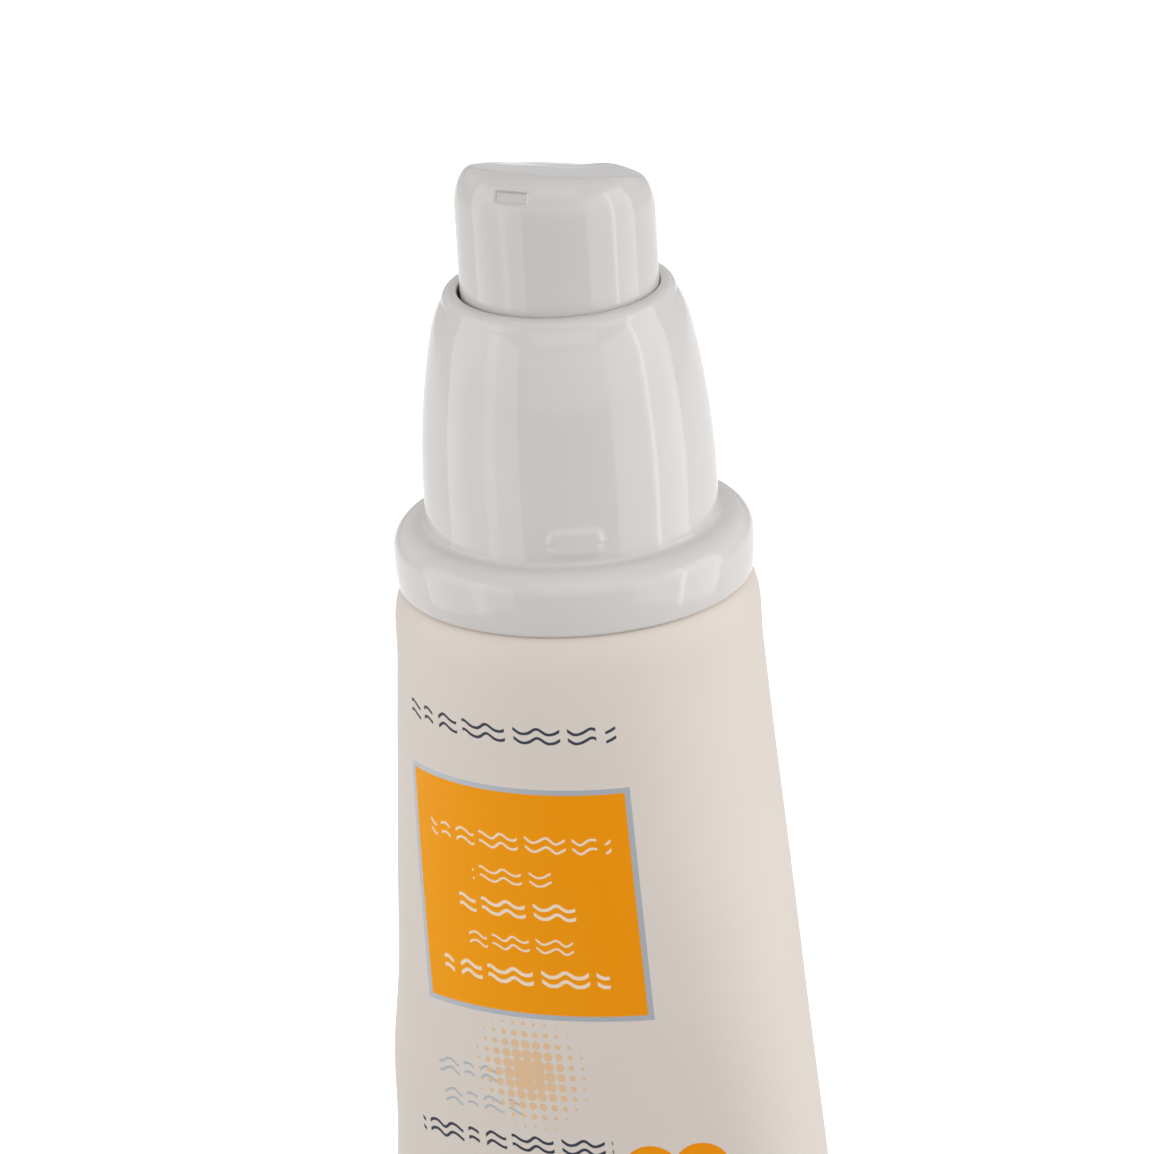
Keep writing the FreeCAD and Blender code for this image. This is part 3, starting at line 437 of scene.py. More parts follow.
# each row of waves: middle across, middle up, half width, half height, half the stroke,
# pitch, and its ink
PRINTED_ROWS = (
    (-1.0, -6.1, 11.8, 0.8, 0.15, 2.6, slate_ink),
    (-0.7, -17.7, 9.9, 0.8, 0.12, 2.3, pale_ink),
    (-1.2, -21.5, 4.3, 0.75, 0.11, 2.5, pale_ink),
    (-1.2, -25.0, 6.3, 0.8, 0.17, 2.6, pale_ink),
    (-1.3, -28.7, 5.8, 0.75, 0.11, 2.2, pale_ink),
    (-1.4, -32.3, 9.1, 0.8, 0.19, 2.7, pale_ink),
    (-8.6, -43.6, 4.3, 0.8, 0.13, 2.4, mist_ink),
    (-7.6, -46.9, 4.9, 0.8, 0.13, 2.4, mist_ink),
    (-5.4, -50.9, 11.5, 0.8, 0.16, 2.5, slate_ink),
)
# each plain disc: middle across, middle up and radius
DISCS = ((9.6, -53.3, 2.7), (14.5, -53.3, 2.7))
sun_middle = (-1.7, -42.9)
sun_reach = 6.2
dot_pitch = 1.15
dot_edge = 0.05
# a dot's radius in cells at the field's middle, and what it loses at the field's border
dot_radius = 0.72
dot_loss = 0.6


def new_material(name):
    """An empty node material: returns it, its tree, its Principled node and the place of
    a point in the object's own metres."""
    material = bpy.data.materials.new(name)
    material.use_nodes = True
    tree = material.node_tree
    shader = tree.nodes["Principled BSDF"]
    place = add_node(tree, "ShaderNodeTexCoord").outputs["Object"]
    return material, tree, shader, place


def mixed(tree, share, first, second):
    """One colour laid over another by a mask."""
    return add_node(tree, "ShaderNodeMix", {"Factor": share, 6: first, 7: second},
                    data_type="RGBA").outputs[2]


def set_constants(shader, **values):
    """Numbers that are the same all over, on the shader's own sockets."""
    for name, value in values.items():
        shader.inputs[name.replace("_", " ")].default_value = value


def skin_of(tree, place, grain, grain_depth, swell, dust, swell_depth=1.0):
    """The moulded skin with one material's own values."""
    return use_group(tree, moulded_skin, {
        "Place": place, "Grain": grain, "Grain Depth": grain_depth, "Swell": swell,
        "Swell Depth": swell_depth, "Dust": dust}).outputs


def speckled(tree, skin, low, high):
    """A tone between two, by the skin's unevenness, with specks of dust on it."""
    tone = mixed(tree, skin["Unevenness"], low, high)
    return mixed(tree, skin["Specks"], tone, dust_grey)


def dress(tree, shader, colour, uneven, rise, roughness):
    """Joins a colour to the shader, and a roughness that rises with an unevenness."""
    join(tree, colour, shader.inputs["Base Color"])
    join(tree, calculate(tree, "MULTIPLY_ADD", uneven, rise, roughness),
         shader.inputs["Roughness"])


def emboss(tree, shader, height, strength, distance):
    """Joins a bump of a height to the shader."""
    bump = add_node(tree, "ShaderNodeBump", {
        "Height": height, "Strength": strength, "Distance": distance})
    join(tree, bump.outputs[0], shader.inputs["Normal"])


film, tree, shader, place = new_material("printed_film")
print_place = add_node(tree, "ShaderNodeUVMap", uv_map="print").outputs[0]
on_print = add_node(tree, "ShaderNodeSeparateXYZ", {0: print_place})
across, up = on_print.outputs[0], on_print.outputs[1]


def block_mask(middle, half):
    """The mask of a printed block on the film."""
    return use_group(tree, printed_block, {
        "Across": across, "Up": up, "Middle Across": middle[0], "Middle Up": middle[1],
        "Half Width": half[0], "Half Height": half[1], "Edge": print_edge}).outputs["Mask"]


def length_of(sideways, upwards):
    """The length of a step given sideways and upwards."""
    return calculate(tree, "SQRT", calculate(
        tree, "MULTIPLY_ADD", sideways, sideways, calculate(tree, "MULTIPLY", upwards, upwards)))


def distance_from(middle):
    """Millimetres on the print from a point."""
    return length_of(calculate(tree, "SUBTRACT", across, middle[0]),
                     calculate(tree, "SUBTRACT", up, middle[1]))


def off_dot(way):
    """How far a point is from the middle of its cell of the dots, in cells, one way."""
    return calculate(tree, "SUBTRACT", calculate(
        tree, "FRACT", calculate(tree, "DIVIDE", way, dot_pitch)), 0.5)


film_skin = skin_of(tree, place, 2600.0, 0.25, 60.0, 0.05)
frame_mask = block_mask(panel_middle, (panel_half[0] + foil_width, panel_half[1] + foil_width))
panel_mask = block_mask(panel_middle, panel_half)
foil_mask = calculate(tree, "SUBTRACT", frame_mask, panel_mask, clamp=True)
ink_grain = cloud(tree, place, 1900.0, 2.0)
ink_fall = calculate(tree, "MULTIPLY_ADD", across, orange_rise, orange_share, clamp=True)
orange = mixed(tree, ink_fall, orange_ink, orange_dark)
orange = mixed(tree, calculate(tree, "MULTIPLY", ink_grain, 0.18), orange, orange_pale)
colour = mixed(tree, frame_mask, speckled(tree, film_skin, film_low, film_high), foil_silver)
colour = mixed(tree, panel_mask, colour, orange)
# the rows of waves, the discs and a round field of dots that grow towards its middle
print_masks = []
for *values, ink in PRINTED_ROWS:
    row_inputs = dict(zip(ROW_SOCKETS, values), Across=across, Up=up, Edge=print_edge)
    print_masks.append((use_group(tree, waved_row, row_inputs).outputs["Mask"], ink))
for middle_across, middle_up, radius in DISCS:
    from_edge = calculate(tree, "SUBTRACT", radius, distance_from((middle_across, middle_up)))
    print_masks.append((crisp(tree, from_edge, print_edge), orange))
dot_size = calculate(tree, "MULTIPLY_ADD", distance_from(sun_middle), -dot_loss / sun_reach,
                     dot_radius)
in_dot = calculate(tree, "SUBTRACT", dot_size, length_of(off_dot(across), off_dot(up)))
print_masks.append((crisp(tree, in_dot, dot_edge), peach_ink))
ink_masks = frame_mask
for mask, ink in print_masks:
    colour = mixed(tree, mask, colour, ink)
    ink_masks = calculate(tree, "MAXIMUM", ink_masks, mask)

dress(tree, shader, colour, film_skin["Unevenness"], 0.1, 0.42)
join(tree, calculate(tree, "MULTIPLY", foil_mask, 0.4), shader.inputs["Metallic"])
emboss(tree, shader, calculate(tree, "MULTIPLY_ADD", ink_masks, 0.4, film_skin["Height"]),
       0.25, 0.00004)
set_constants(shader, IOR=1.5, Specular_IOR_Level=0.14)

sleeve.data.materials.append(film)
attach(sleeve, "tube")
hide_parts("tube_sleeve")

# ------------------------------------------------------------------ the shoulder
# A stiff moulded disc with a rounded corner and a neck. The sleeve is welded to its
# skirt, and only the rounded corner shows, as a paler band under the pump's flange.

head_low, head_high = box_of("tube_head")
corner_height = 3.75
corner_inset = 1.36
shoulder_height = 3.5
shoulder_top = sleeve_top + shoulder_height
bead_inside = 15.3
shoulder_plate = 1.6
skirt_wall = 0.9
neck_wall = 1.3
neck_bead = 0.4
neck_bead_height = 1.0
neck_bead_drop = 4.8
neck_radius = 10.74
neck_bore = neck_radius - neck_wall
neck_top = head_high.z
weld_gap = 0.02


def arc(middle, radius, start, end, steps):
    """Points of an arc, from one angle to another in degrees, both ends included."""
    points = []
    for step in range(steps + 1):
        turn = math.radians(start + (end - start) * step / steps)
        points.append((middle[0] + radius * math.cos(turn), middle[1] + radius * math.sin(turn)))
    return points


def turned(outline, steps=160):
    """Spins a closed outline of radius and level about the tube's axis."""
    bm = bmesh.new()
    corners = [bm.verts.new((radius, 0.0, level)) for radius, level in outline]
    edges = []
    for number, corner in enumerate(corners):
        edges.append(bm.edges.new((corners[number - 1], corner)))
    bmesh.ops.spin(bm, geom=corners + edges, cent=(0, 0, 0), axis=(0, 0, 1),
                   angle=2 * math.pi, steps=steps, use_merge=True)
    return bm


skirt_outside = tube_radius - sleeve_wall - weld_gap
skirt_inside = skirt_outside - skirt_wall
bead_radius = neck_radius + neck_bead
bead_top = neck_top - neck_bead_drop
head_outline = [
    (neck_bore, shoulder_top - shoulder_plate),
    (skirt_inside, shoulder_top - shoulder_plate),
    (skirt_inside, head_low.z),
    (skirt_outside, head_low.z),
    (skirt_outside, sleeve_top),
]
for reach, rise in arc((0, 0), 1.0, 0, 90, 24):
    head_outline.append((tube_radius + corner_inset * (reach - 1),
                         sleeve_top + corner_height * rise))
head_outline += [
    (bead_inside, sleeve_top + corner_height),
    (bead_inside - 0.1, shoulder_top),
    (neck_radius, shoulder_top),
    (neck_radius, bead_top - neck_bead_height),
    (bead_radius, bead_top - neck_bead_height),
    (bead_radius, bead_top - neck_bead),
    (neck_radius, bead_top),
    (neck_radius, neck_top),
    (neck_bore, neck_top),
]
shoulder = to_object(turned(head_outline, 192), "tube_shoulder")

shoulder_white, tree, shader, place = new_material("shoulder_polyethylene")
shoulder_skin = skin_of(tree, place, 2600.0, 0.25, 60.0, 0.08)
dress(tree, shader, speckled(tree, shoulder_skin, film_low, film_high),
      shoulder_skin["Unevenness"], 0.1, 0.42)
emboss(tree, shader, shoulder_skin["Height"], 0.25, 0.00004)
set_constants(shader, IOR=1.5, Specular_IOR_Level=0.14)
shoulder.data.materials.append(shoulder_white)
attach(shoulder, "tube")
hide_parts("tube_head")

# ------------------------------------------------------------------ the collar
# Glossy white polypropylene, moulded in one piece: a dome with a rolled lip, a round
# hollow flange under it that the cap stands on, and two low lugs that hold the cap.

collar_low, collar_high = box_of("collar")
rim = collar_high.z
flange_lift = 0.3
flange_bottom = collar_low.z + flange_lift
foot = flange_bottom + 6.1
flange_radius = 17.15
flange_rounding = 2.1
flange_belly = 3.3
flange_edge = 0.5
flange_plate = 1.3
rim_radius = tube_radius - 0.55
rim_inside = rim_radius - 1.0
dome_radius = 14.0
dome_wall = 1.1
dome_straight = 3.0
dome_shoulder = (12.4, rim - 4.3)
foot_fillet = 0.45
closure_top = rim - 14.4
plate_inside = rim_inside - 0.3
rib_count = 12
rib_width = 0.8
opening_radius = 9.62
lip_radius = 11.1
lip_roll = 0.85
lip_edge = 0.2
lug_row = 0.1


def run_on(outline, end, heading, steps):
    """Carries an outline on in an arc that leaves its last point at a heading, in
    radians, and ends at a point. Returns the heading there."""
    last = outline[-1]
    way = math.atan2(end[1] - last[1], end[0] - last[0])
    turn = way - heading
    radius = math.dist(last, end) / 2 / math.sin(turn)
    for step in range(1, steps + 1):
        part = turn * step / steps
        length = 2 * radius * math.sin(part)
        outline.append((last[0] + length * math.cos(heading + part),
                        last[1] + length * math.sin(heading + part)))
    return heading + 2 * turn


collar_outline = [
    (dome_radius - dome_wall, collar_low.z),
    (dome_radius, collar_low.z),
    (dome_radius, foot - flange_plate),
    (plate_inside, foot - flange_plate),
    (plate_inside, flange_bottom),
]
# the flange's lower edge, its belly and its rounded top
collar_outline += arc((rim_radius - flange_edge, flange_bottom + flange_edge),
                      flange_edge, 270, 360, 8)
run_on(collar_outline, (flange_radius, foot - flange_belly), math.radians(82), 8)
collar_outline += arc((flange_radius - flange_rounding, foot - flange_rounding),
                      flange_rounding, 0, 90, 18)
# the fillet at the dome's foot, the dome and its lip
collar_outline += arc((dome_radius + foot_fillet, foot + foot_fillet),
                      foot_fillet, 270, 180, 6)
collar_outline += [(dome_radius, foot + foot_fillet + lug_row * step) for step in range(1, 26)]
collar_outline.append((dome_radius, foot + dome_straight))
heading = run_on(collar_outline, dome_shoulder, math.pi / 2, 64)
run_on(collar_outline, (lip_radius, rim - lip_roll), heading, 14)
collar_outline += arc((lip_radius - lip_roll, rim - lip_roll), lip_roll, 12, 90, 12)
collar_outline += arc((opening_radius + lip_edge, rim - lip_edge), lip_edge, 90, 180, 6)
collar_outline += [
    (opening_radius, rim - 1.0),
    (dome_shoulder[0] - dome_wall, dome_shoulder[1]),
    (dome_radius - dome_wall, closure_top),
]
collar_skin = turned(collar_outline, 320)


def add_block(bm, size, middle):
    """Adds a block to a skin, by its size and its middle. Returns its corners."""
    made = bmesh.ops.create_cube(bm, size=1.0)["verts"]
    bmesh.ops.scale(bm, vec=size, verts=made)
    bmesh.ops.translate(bm, vec=middle, verts=made)
    return made


# the ribs under the flange
rib_low = flange_bottom + flange_lift
rib_high = foot - flange_plate
rib_inner, rib_outer = dome_radius - 0.05, rim_inside - 0.25
for number in range(rib_count):
    made = add_block(collar_skin, (rib_outer - rib_inner, rib_width, rib_high - rib_low),
                     ((rib_outer + rib_inner) / 2, 0, (rib_low + rib_high) / 2))
    bmesh.ops.rotate(collar_skin, cent=(0, 0, 0), verts=made,
                     matrix=Matrix.Rotation(2 * math.pi * number / rib_count, 3, "Z"))

# each lug is a low pad with rounded corners and soft edges, raised from the dome's foot
lug_angle = math.radians(27.0)
lug_span = math.radians(23.0)
lug_low = foot + 0.5
lug_height = 3.3
lug_proud = 0.3
lug_corner = 1.2
lug_slopes = (0.55, 0.95)
lug_half_width = dome_radius * lug_span / 2


def lug_share(across, up):
    """How far a point of the pad has risen: 1 on its face, 0 at its rounded border. The
    lower border slopes more gently than the upper one."""
    beyond = Vector((max(abs(across) - lug_half_width + lug_corner, 0),
                     max(abs(up) - lug_height / 2 + lug_corner, 0)))
    nearest = max(abs(across) - lug_half_width, abs(up) - lug_height / 2)
    inside = lug_corner - beyond.length if beyond.x and beyond.y else -nearest
    slope = lug_slopes[0] if up > 0 else lug_slopes[1]
    share = min(max(inside / slope, 0.0), 1.0)
    return share * share * (3 - 2 * share)


for vertex in collar_skin.verts:
    radius = vertex.co.xy.length
    up = vertex.co.z - lug_low - lug_height / 2
    if abs(up) < lug_height / 2 and dome_radius - 0.3 < radius < dome_radius + 0.3:
        angle = math.atan2(vertex.co.x, -vertex.co.y) - lug_angle
        across = ((angle + math.pi / 2) % math.pi - math.pi / 2) * dome_radius
        vertex.co.xy *= 1 + lug_proud * lug_share(across, up) / radius
collar = to_object(collar_skin, "domed_collar", 40)


def gloss_white(name, low, high, grain_depth, dust):
    """Glossy moulded polypropylene: slightly uneven in tone, with a soft skin."""
    material, tree, shader, place = new_material(name)
    skin = skin_of(tree, place, 900.0, grain_depth, 95.0, dust)
    dress(tree, shader, speckled(tree, skin, low, high), skin["Unevenness"], 0.02, 0.03)
    emboss(tree, shader, skin["Height"], 0.15, 0.00006)
    set_constants(shader, IOR=1.5)
    return material


collar_white = gloss_white("collar_polypropylene", paint(217, 213, 210), paint(222, 218, 215),
                           0.03, 0.06)
collar.data.materials.append(collar_white)
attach(collar, "tube")
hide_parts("collar")

# ------------------------------------------------------------------ the button
# The glossy button that is pushed down: a round shell whose top slopes to the rear, with
# an edge that is rounded more and more towards the back, and a slot in front for the
# nozzle. The boss inside is pressed on the pump's stem.

button_bottom = box_of("actuator_button")[0].z
button_radius = 9.45
side_angle = math.radians(26.5)
side_way = Vector((math.cos(side_angle), math.sin(side_angle)))
button_shift = side_way * 0.12
top_at_axis = rim + 11.43
top_slope = math.tan(math.radians(14.9))
top_crown = 0.18
nozzle_level = rim + 11.4
slot_half_width = 1.85
slot_half_height = 0.68
slot_depth = 0.4
slot_draft = (0.86, 0.74)
slot_middle_radius = 9.1
slot_lean = math.tan(math.radians(20.0))
insert_half_width = 2.2
insert_half_height = 0.95
insert_depth = 1.5
front_inset = 2.1
rear_inset = 1.1
front_drop = 4.5
rear_drop = 2.85
edge_fullness = 1.9
# unevenness of the moulded top: where it lies to the side, its reach, and how high
SINKS = ((-4.0, 2.6, -0.16), (5.6, 2.0, 0.45))
wobble_depth = 0.03
wobble_reach = 3.2
button_wall = 1.2
boss_bottom = box_of("return_spring")[1].z
boss_radius = 5.2
stem_radius = 3.06
stem_top = box_of("stem")[1].z
ceiling_drop = 1.5
ceiling = nozzle_level - insert_half_height - ceiling_drop
riser_radius = 1.9


def roof_level(radius, frontness):
    """The sloping and slightly crowned top at a distance from the axis."""
    return top_at_axis + top_slope * radius * frontness - top_crown * (radius / button_radius) ** 2


def button_place(share, row):
    """A point of the button: a row is a place on the roof, on the rounding or on the
    straight wall and the inside. The button's play lets it stand a little to one side."""
    kind, first, second = row
    turn = share * 2 * math.pi
    frontness = math.cos(turn)
    rearness = (1 - frontness) / 2
    inset = front_inset + (rear_inset - front_inset) * rearness
    drop = front_drop + (rear_drop - front_drop) * rearness
    start = button_radius - inset
    below_corner = roof_level(button_radius, frontness) - drop
    if kind == "roof":
        radius = start * first
        level = roof_level(radius, frontness)
    elif kind == "rounding":
        angle = first * math.pi / 2
        radius = start + inset * math.sin(angle) ** (2 / edge_fullness)
        rise = roof_level(start, frontness) - below_corner
        level = below_corner + rise * max(math.cos(angle), 0.0) ** (2 / edge_fullness)
    elif kind == "wall":
        radius = button_radius
        level = first + (below_corner - first) * second
    else:
        radius, level = first, second
    if kind in ("roof", "rounding"):
        x, y = radius * math.sin(turn), radius * frontness
        wobble = noise.noise(Vector((x / wobble_reach, y / wobble_reach, 7.0)))
        level -= wobble_depth * (1 + wobble)
        sideways = x * side_way.x - y * side_way.y
        for middle, reach, rise in SINKS:
            weight = rearness * radius / button_radius
            level += rise * weight * math.exp(-((sideways - middle) / reach) ** 2)
    point = Vector((radius * math.sin(turn), -radius * math.cos(turn), level))
    if radius > boss_radius:
        point.xy += button_shift
    return point


button_rows = [("roof", step / 12, 0) for step in range(13)]
button_rows += [("rounding", step / 24, 0) for step in range(1, 25)]
button_rows += [("wall", button_bottom + 0.2, 1 - step / 16) for step in range(1, 17)]
button_rows += [("inside", radius, level) for radius, level in (
    (button_radius - 0.06, button_bottom + 0.06),
    (button_radius - 0.2, button_bottom),
    (button_radius - button_wall + 0.1, button_bottom),
    (button_radius - button_wall, button_bottom + 0.1),
    (button_radius - button_wall, ceiling),
    (boss_radius, ceiling),
    (boss_radius, boss_bottom + 0.1),
    (boss_radius - 0.1, boss_bottom),
    (stem_radius + 0.1, boss_bottom),
    (stem_radius, boss_bottom + 0.1),
    (stem_radius, stem_top),
    (riser_radius, stem_top),
    (riser_radius, ceiling),
    (0.0, ceiling),
)]
button_skin = ring_skin(192, button_rows, button_place)
bmesh.ops.remove_doubles(button_skin, verts=button_skin.verts, dist=merge_reach)
bmesh.ops.recalc_face_normals(button_skin, faces=button_skin.faces)

near_front = -button_radius * 0.9


def score(bm, chosen, half_width, low, high):
    """Cuts the chosen faces of a skin along the four sides of an upright rectangle."""
    for point, way in (((half_width, 0, 0), (1, 0, 0)), ((-half_width, 0, 0), (1, 0, 0)),
                       ((0, 0, high), (0, 0, 1)), ((0, 0, low), (0, 0, 1))):
        faces = [face for face in bm.faces if chosen(face)]
        edges = list({edge for face in faces for edge in face.edges})
        verts = list({vertex for face in faces for vertex in face.verts})
        bmesh.ops.bisect_plane(bm, geom=verts + edges + faces, plane_co=point,
                               plane_no=way, dist=0.0001)


def in_front(face):
    """Whether a face is near the middle of the button's front and its upper edge."""
    middle = face.calc_center_median()
    return middle.y < near_front and middle.z > nozzle_level - 2


# the slot is cut in the wall, then widened behind it to the room of the nozzle's insert
score(button_skin, in_front, slot_half_width, nozzle_level - slot_half_height,
      nozzle_level + slot_half_height)


def in_slot(face):
    """Whether a face of the front lies within the slot's outline."""
    middle = face.calc_center_median()
    return (abs(middle.x) < slot_half_width and abs(middle.z - nozzle_level) < slot_half_height
            and middle.y < near_front)


def slot_floor_at(level, deeper):
    """Where the slot's floor, or the back of the room behind it, lies at a level: it leans
    back with the rounded front."""
    return -(slot_middle_radius - slot_depth - deeper) + slot_lean * (level - nozzle_level)


slot_floor = [face for face in button_skin.faces if in_slot(face)]
wide_share = insert_half_width / slot_half_width
high_share = insert_half_height / slot_half_height
widening = (wide_share / slot_draft[0], high_share / slot_draft[1])
for deeper, across_share, up_share in ((0.0, *slot_draft), (0.0, *widening),
                                       (insert_depth, 1.0, 1.0)):
    made = bmesh.ops.extrude_face_region(button_skin, geom=slot_floor)["geom"]
    bmesh.ops.delete(button_skin, geom=slot_floor, context="FACES")
    slot_floor = [item for item in made if isinstance(item, bmesh.types.BMFace)]
    for vertex in {vertex for face in slot_floor for vertex in face.verts}:
        vertex.co.x *= across_share
        vertex.co.z = nozzle_level + (vertex.co.z - nozzle_level) * up_share
        vertex.co.y = slot_floor_at(vertex.co.z, deeper)
slot_rim = []
for edge in button_skin.edges:
    middle = (edge.verts[0].co + edge.verts[1].co) / 2
    wide, high = abs(middle.x), abs(middle.z - nozzle_level)
    at_side = abs(wide - slot_half_width) < 0.001 and high < slot_half_height
    at_end = abs(high - slot_half_height) < 0.001 and wide < slot_half_width
    on_skin = all(vertex.co.y < slot_floor_at(vertex.co.z, 0) - 0.1 for vertex in edge.verts)
    if (at_side or at_end) and on_skin:
        slot_rim.append(edge)
bmesh.ops.bevel(button_skin, geom=slot_rim, offset=0.1, segments=3, profile=0.5,
                affect="EDGES", material=-1)
button = to_object(button_skin, "push_button", 40)
button_white = gloss_white("button_polypropylene", paint(213, 209, 206), paint(218, 214, 211),
                           0.03, 0.05)
button.data.materials.append(button_white)
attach(button, "button")
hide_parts("actuator_button")

# ------------------------------------------------------------------ the nozzle's insert
# A small block pressed in behind the slot, with a flat slit that shapes the cream into
# a ribbon. Its skin is grainier than the button round it, and its colour is painted a
# little darker than the button's, as painted shade in the slot's recess.

press_gap = 0.02
insert_play = 0.03
slit_half_width = 1.35
slit_drop = 0.16
slit_height = 0.13
slit_low = nozzle_level + slot_half_height * slot_draft[1] - slit_drop
slit_high = slit_low + slit_height
slit_depth = 0.08
insert_skin = bmesh.new()
add_block(insert_skin, (2 * (insert_half_width - press_gap),
                        insert_depth - 2 * press_gap - insert_play,
                        2 * (insert_half_height - press_gap)),
          (0, slot_floor_at(nozzle_level, (insert_depth - press_gap) / 2 + insert_play),
           nozzle_level))
for vertex in insert_skin.verts:
    vertex.co.y += slot_lean * (vertex.co.z - nozzle_level)
score(insert_skin, lambda face: True, slit_half_width, slit_low, slit_high)
slit_face = [face for face in insert_skin.faces
             if face.normal.y < -0.5 and abs(face.calc_center_median().x) < slit_half_width
             and slit_low < face.calc_center_median().z < slit_high]
made = bmesh.ops.extrude_face_region(insert_skin, geom=slit_face)["geom"]
bmesh.ops.delete(insert_skin, geom=slit_face, context="FACES")
for item in made:
    if isinstance(item, bmesh.types.BMVert):
        item.co.y += slit_depth
insert = to_object(insert_skin, "nozzle_slit_insert", 30)
# painted shade: the insert's colour is darker than the button's, to stand for the shade in the
# slot
insert_white_painted_shade = gloss_white("insert_polypropylene_painted_shade", paint(206, 200, 196), paint(210, 204, 200),
                           0.1, 0.0)
insert.data.materials.append(insert_white_painted_shade)
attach(insert, "button")
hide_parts("nozzle_insert")

# ------------------------------------------------------------------ the return spring
# Drawn steel wire, wound with a closed turn at each end. It stands on the pump's guide
# bush and is pressed together when the button goes down.

spring_low, spring_high = box_of("return_spring")
spring_radius = 4.25
wire_radius = 0.35
spring_turns = 6
spring_height = spring_high.z - spring_low.z - 2 * wire_radius
closed_climb = wire_radius * 2 * 1.08    # a little play between the closed turns
open_climb = (spring_height - 2 * closed_climb) / (spring_turns - 2)
turn_steps = 48
spring_skin = bmesh.new()
wire_end = bmesh.ops.create_circle(
    spring_skin, segments=12, radius=wire_radius, cap_ends=True)["verts"]
bmesh.ops.rotate(spring_skin, cent=(0, 0, 0), verts=wire_end,
                 matrix=Matrix.Rotation(math.pi / 2, 3, "X"))
bmesh.ops.translate(spring_skin, verts=wire_end,
                    vec=(spring_radius, 0, spring_low.z + wire_radius))
wire_geometry = spring_skin.verts[:] + spring_skin.edges[:] + spring_skin.faces[:]
for climb, turns in ((closed_climb, 1), (open_climb, spring_turns - 2), (closed_climb, 1)):
    steps = turn_steps * turns
    wire_geometry = bmesh.ops.spin(
        spring_skin, geom=wire_geometry, cent=(0, 0, 0), axis=(0, 0, 1),
        angle=2 * math.pi * turns, steps=steps,
        dvec=(0, 0, climb * turns / steps))["geom_last"]
spring = to_object(spring_skin, "wound_spring", 60)


def steel(name, scale, low, high, rise, roughness):
    """Bare steel, a little uneven in tone and in polish."""
    material, tree, shader, place = new_material(name)
    polish = cloud(tree, place, scale, 2.0)
    dress(tree, shader, mixed(tree, polish, low, high), polish, rise, roughness)
    set_constants(shader, Metallic=1.0)
    return material


spring.data.materials.append(steel("drawn_steel", 3000.0, paint(168, 168, 170),
                                   paint(196, 196, 198), 0.2, 0.22))
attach(spring, "tube")
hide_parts("return_spring")
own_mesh(spring)

# ------------------------------------------------------------------ the hidden pump
# The cylinder, bush, stem, plug, piston and clamping ring are moulded from uncoloured or
# white polypropylene and polyethylene, the gasket is foam and the ball is steel. They
# keep the frame's own shapes.


def moulding(name, low, high, roughness, grain_depth):
    """A plain moulded plastic, dull or half dull, with a fine skin."""
    material, tree, shader, place = new_material(name)
    skin = skin_of(tree, place, 1800.0, grain_depth, 120.0, 0.0, swell_depth=0.6)
    dress(tree, shader, mixed(tree, skin["Unevenness"], low, high), skin["Unevenness"],
          0.15, roughness)
    emboss(tree, shader, skin["Height"], 0.3, 0.00005)
    set_constants(shader, IOR=1.5, Subsurface_Weight=0.2, Subsurface_Scale=0.003)
    return material


natural = moulding("natural_polypropylene", paint(216, 216, 212), paint(226, 226, 222),
                   0.25, 0.3)
closure_white = moulding("closure_polypropylene", paint(212, 212, 211), paint(222, 222, 221),
                         0.35, 0.5)
piston_white = moulding("soft_polyethylene", paint(228, 228, 224), paint(236, 236, 232),
                        0.4, 0.3)
foam = moulding("gasket_foam", paint(224, 224, 218), paint(238, 238, 232), 0.75, 3.0)
ball_steel = steel("polished_steel", 900.0, paint(192, 192, 194), paint(206, 206, 208),
                   0.06, 0.05)

HIDDEN_PIECES = (
    ("pump_cylinder", natural), ("guide_bush", natural), ("stem", natural),
    ("stem_plug", natural), ("screw_closure", closure_white), ("piston", piston_white),
    ("neck_gasket", foam), ("inlet_ball", ball_steel),
)
for node_name, material in HIDDEN_PIECES:
    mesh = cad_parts[node_name].data
    mesh.materials.clear()
    mesh.materials.append(material)

# ------------------------------------------------------------------ the studio
# A white table in a pale grey room, tall soft lamps on each side, broad ones in front and
# above, and the camera a little above the pump and to the right of the front.

camera_turn = math.radians(26.5)
camera_rise = math.radians(20.95)
camera_roll = math.radians(3.52)
camera_distance = 850.0
focal_pixels = 8935.0
picture_pixels = 1154
foot_right = -0.07
foot_up = 6.03

right = Vector((math.cos(camera_turn), math.sin(camera_turn), 0))
level_back = Vector((math.sin(camera_turn), -math.cos(camera_turn), 0))
back = level_back * math.cos(camera_rise) + Vector((0, 0, math.sin(camera_rise)))
upward = back.cross(right)
aimed_at = Vector((0, 0, foot)) - right * foot_right - upward * foot_up
camera_place = (aimed_at + back * camera_distance) * MM
rolled_right = right * math.cos(camera_roll) - upward * math.sin(camera_roll)
rolled_up = right * math.sin(camera_roll) + upward * math.cos(camera_roll)
camera_data = bpy.data.cameras.new("camera")
camera_data.sensor_width = 36.0
camera_data.lens = camera_data.sensor_width * focal_pixels / picture_pixels
camera = into_scene("camera", camera_data)
camera_axes = Matrix((rolled_right, rolled_up, back)).transposed().to_4x4()
camera.matrix_world = Matrix.Translation(camera_place) @ camera_axes
bpy.context.scene.camera = camera
bpy.context.scene.view_settings.view_transform = "Standard"

table_reach = 3.0
room_light = 0.5
mirrored_white = 0.8
table_mesh = bpy.data.meshes.new("table")
table_skin = bmesh.new()
bmesh.ops.create_grid(table_skin, x_segments=2, y_segments=2, size=table_reach)
table_skin.to_mesh(table_mesh)
table_skin.free()
table = into_scene("table", table_mesh)

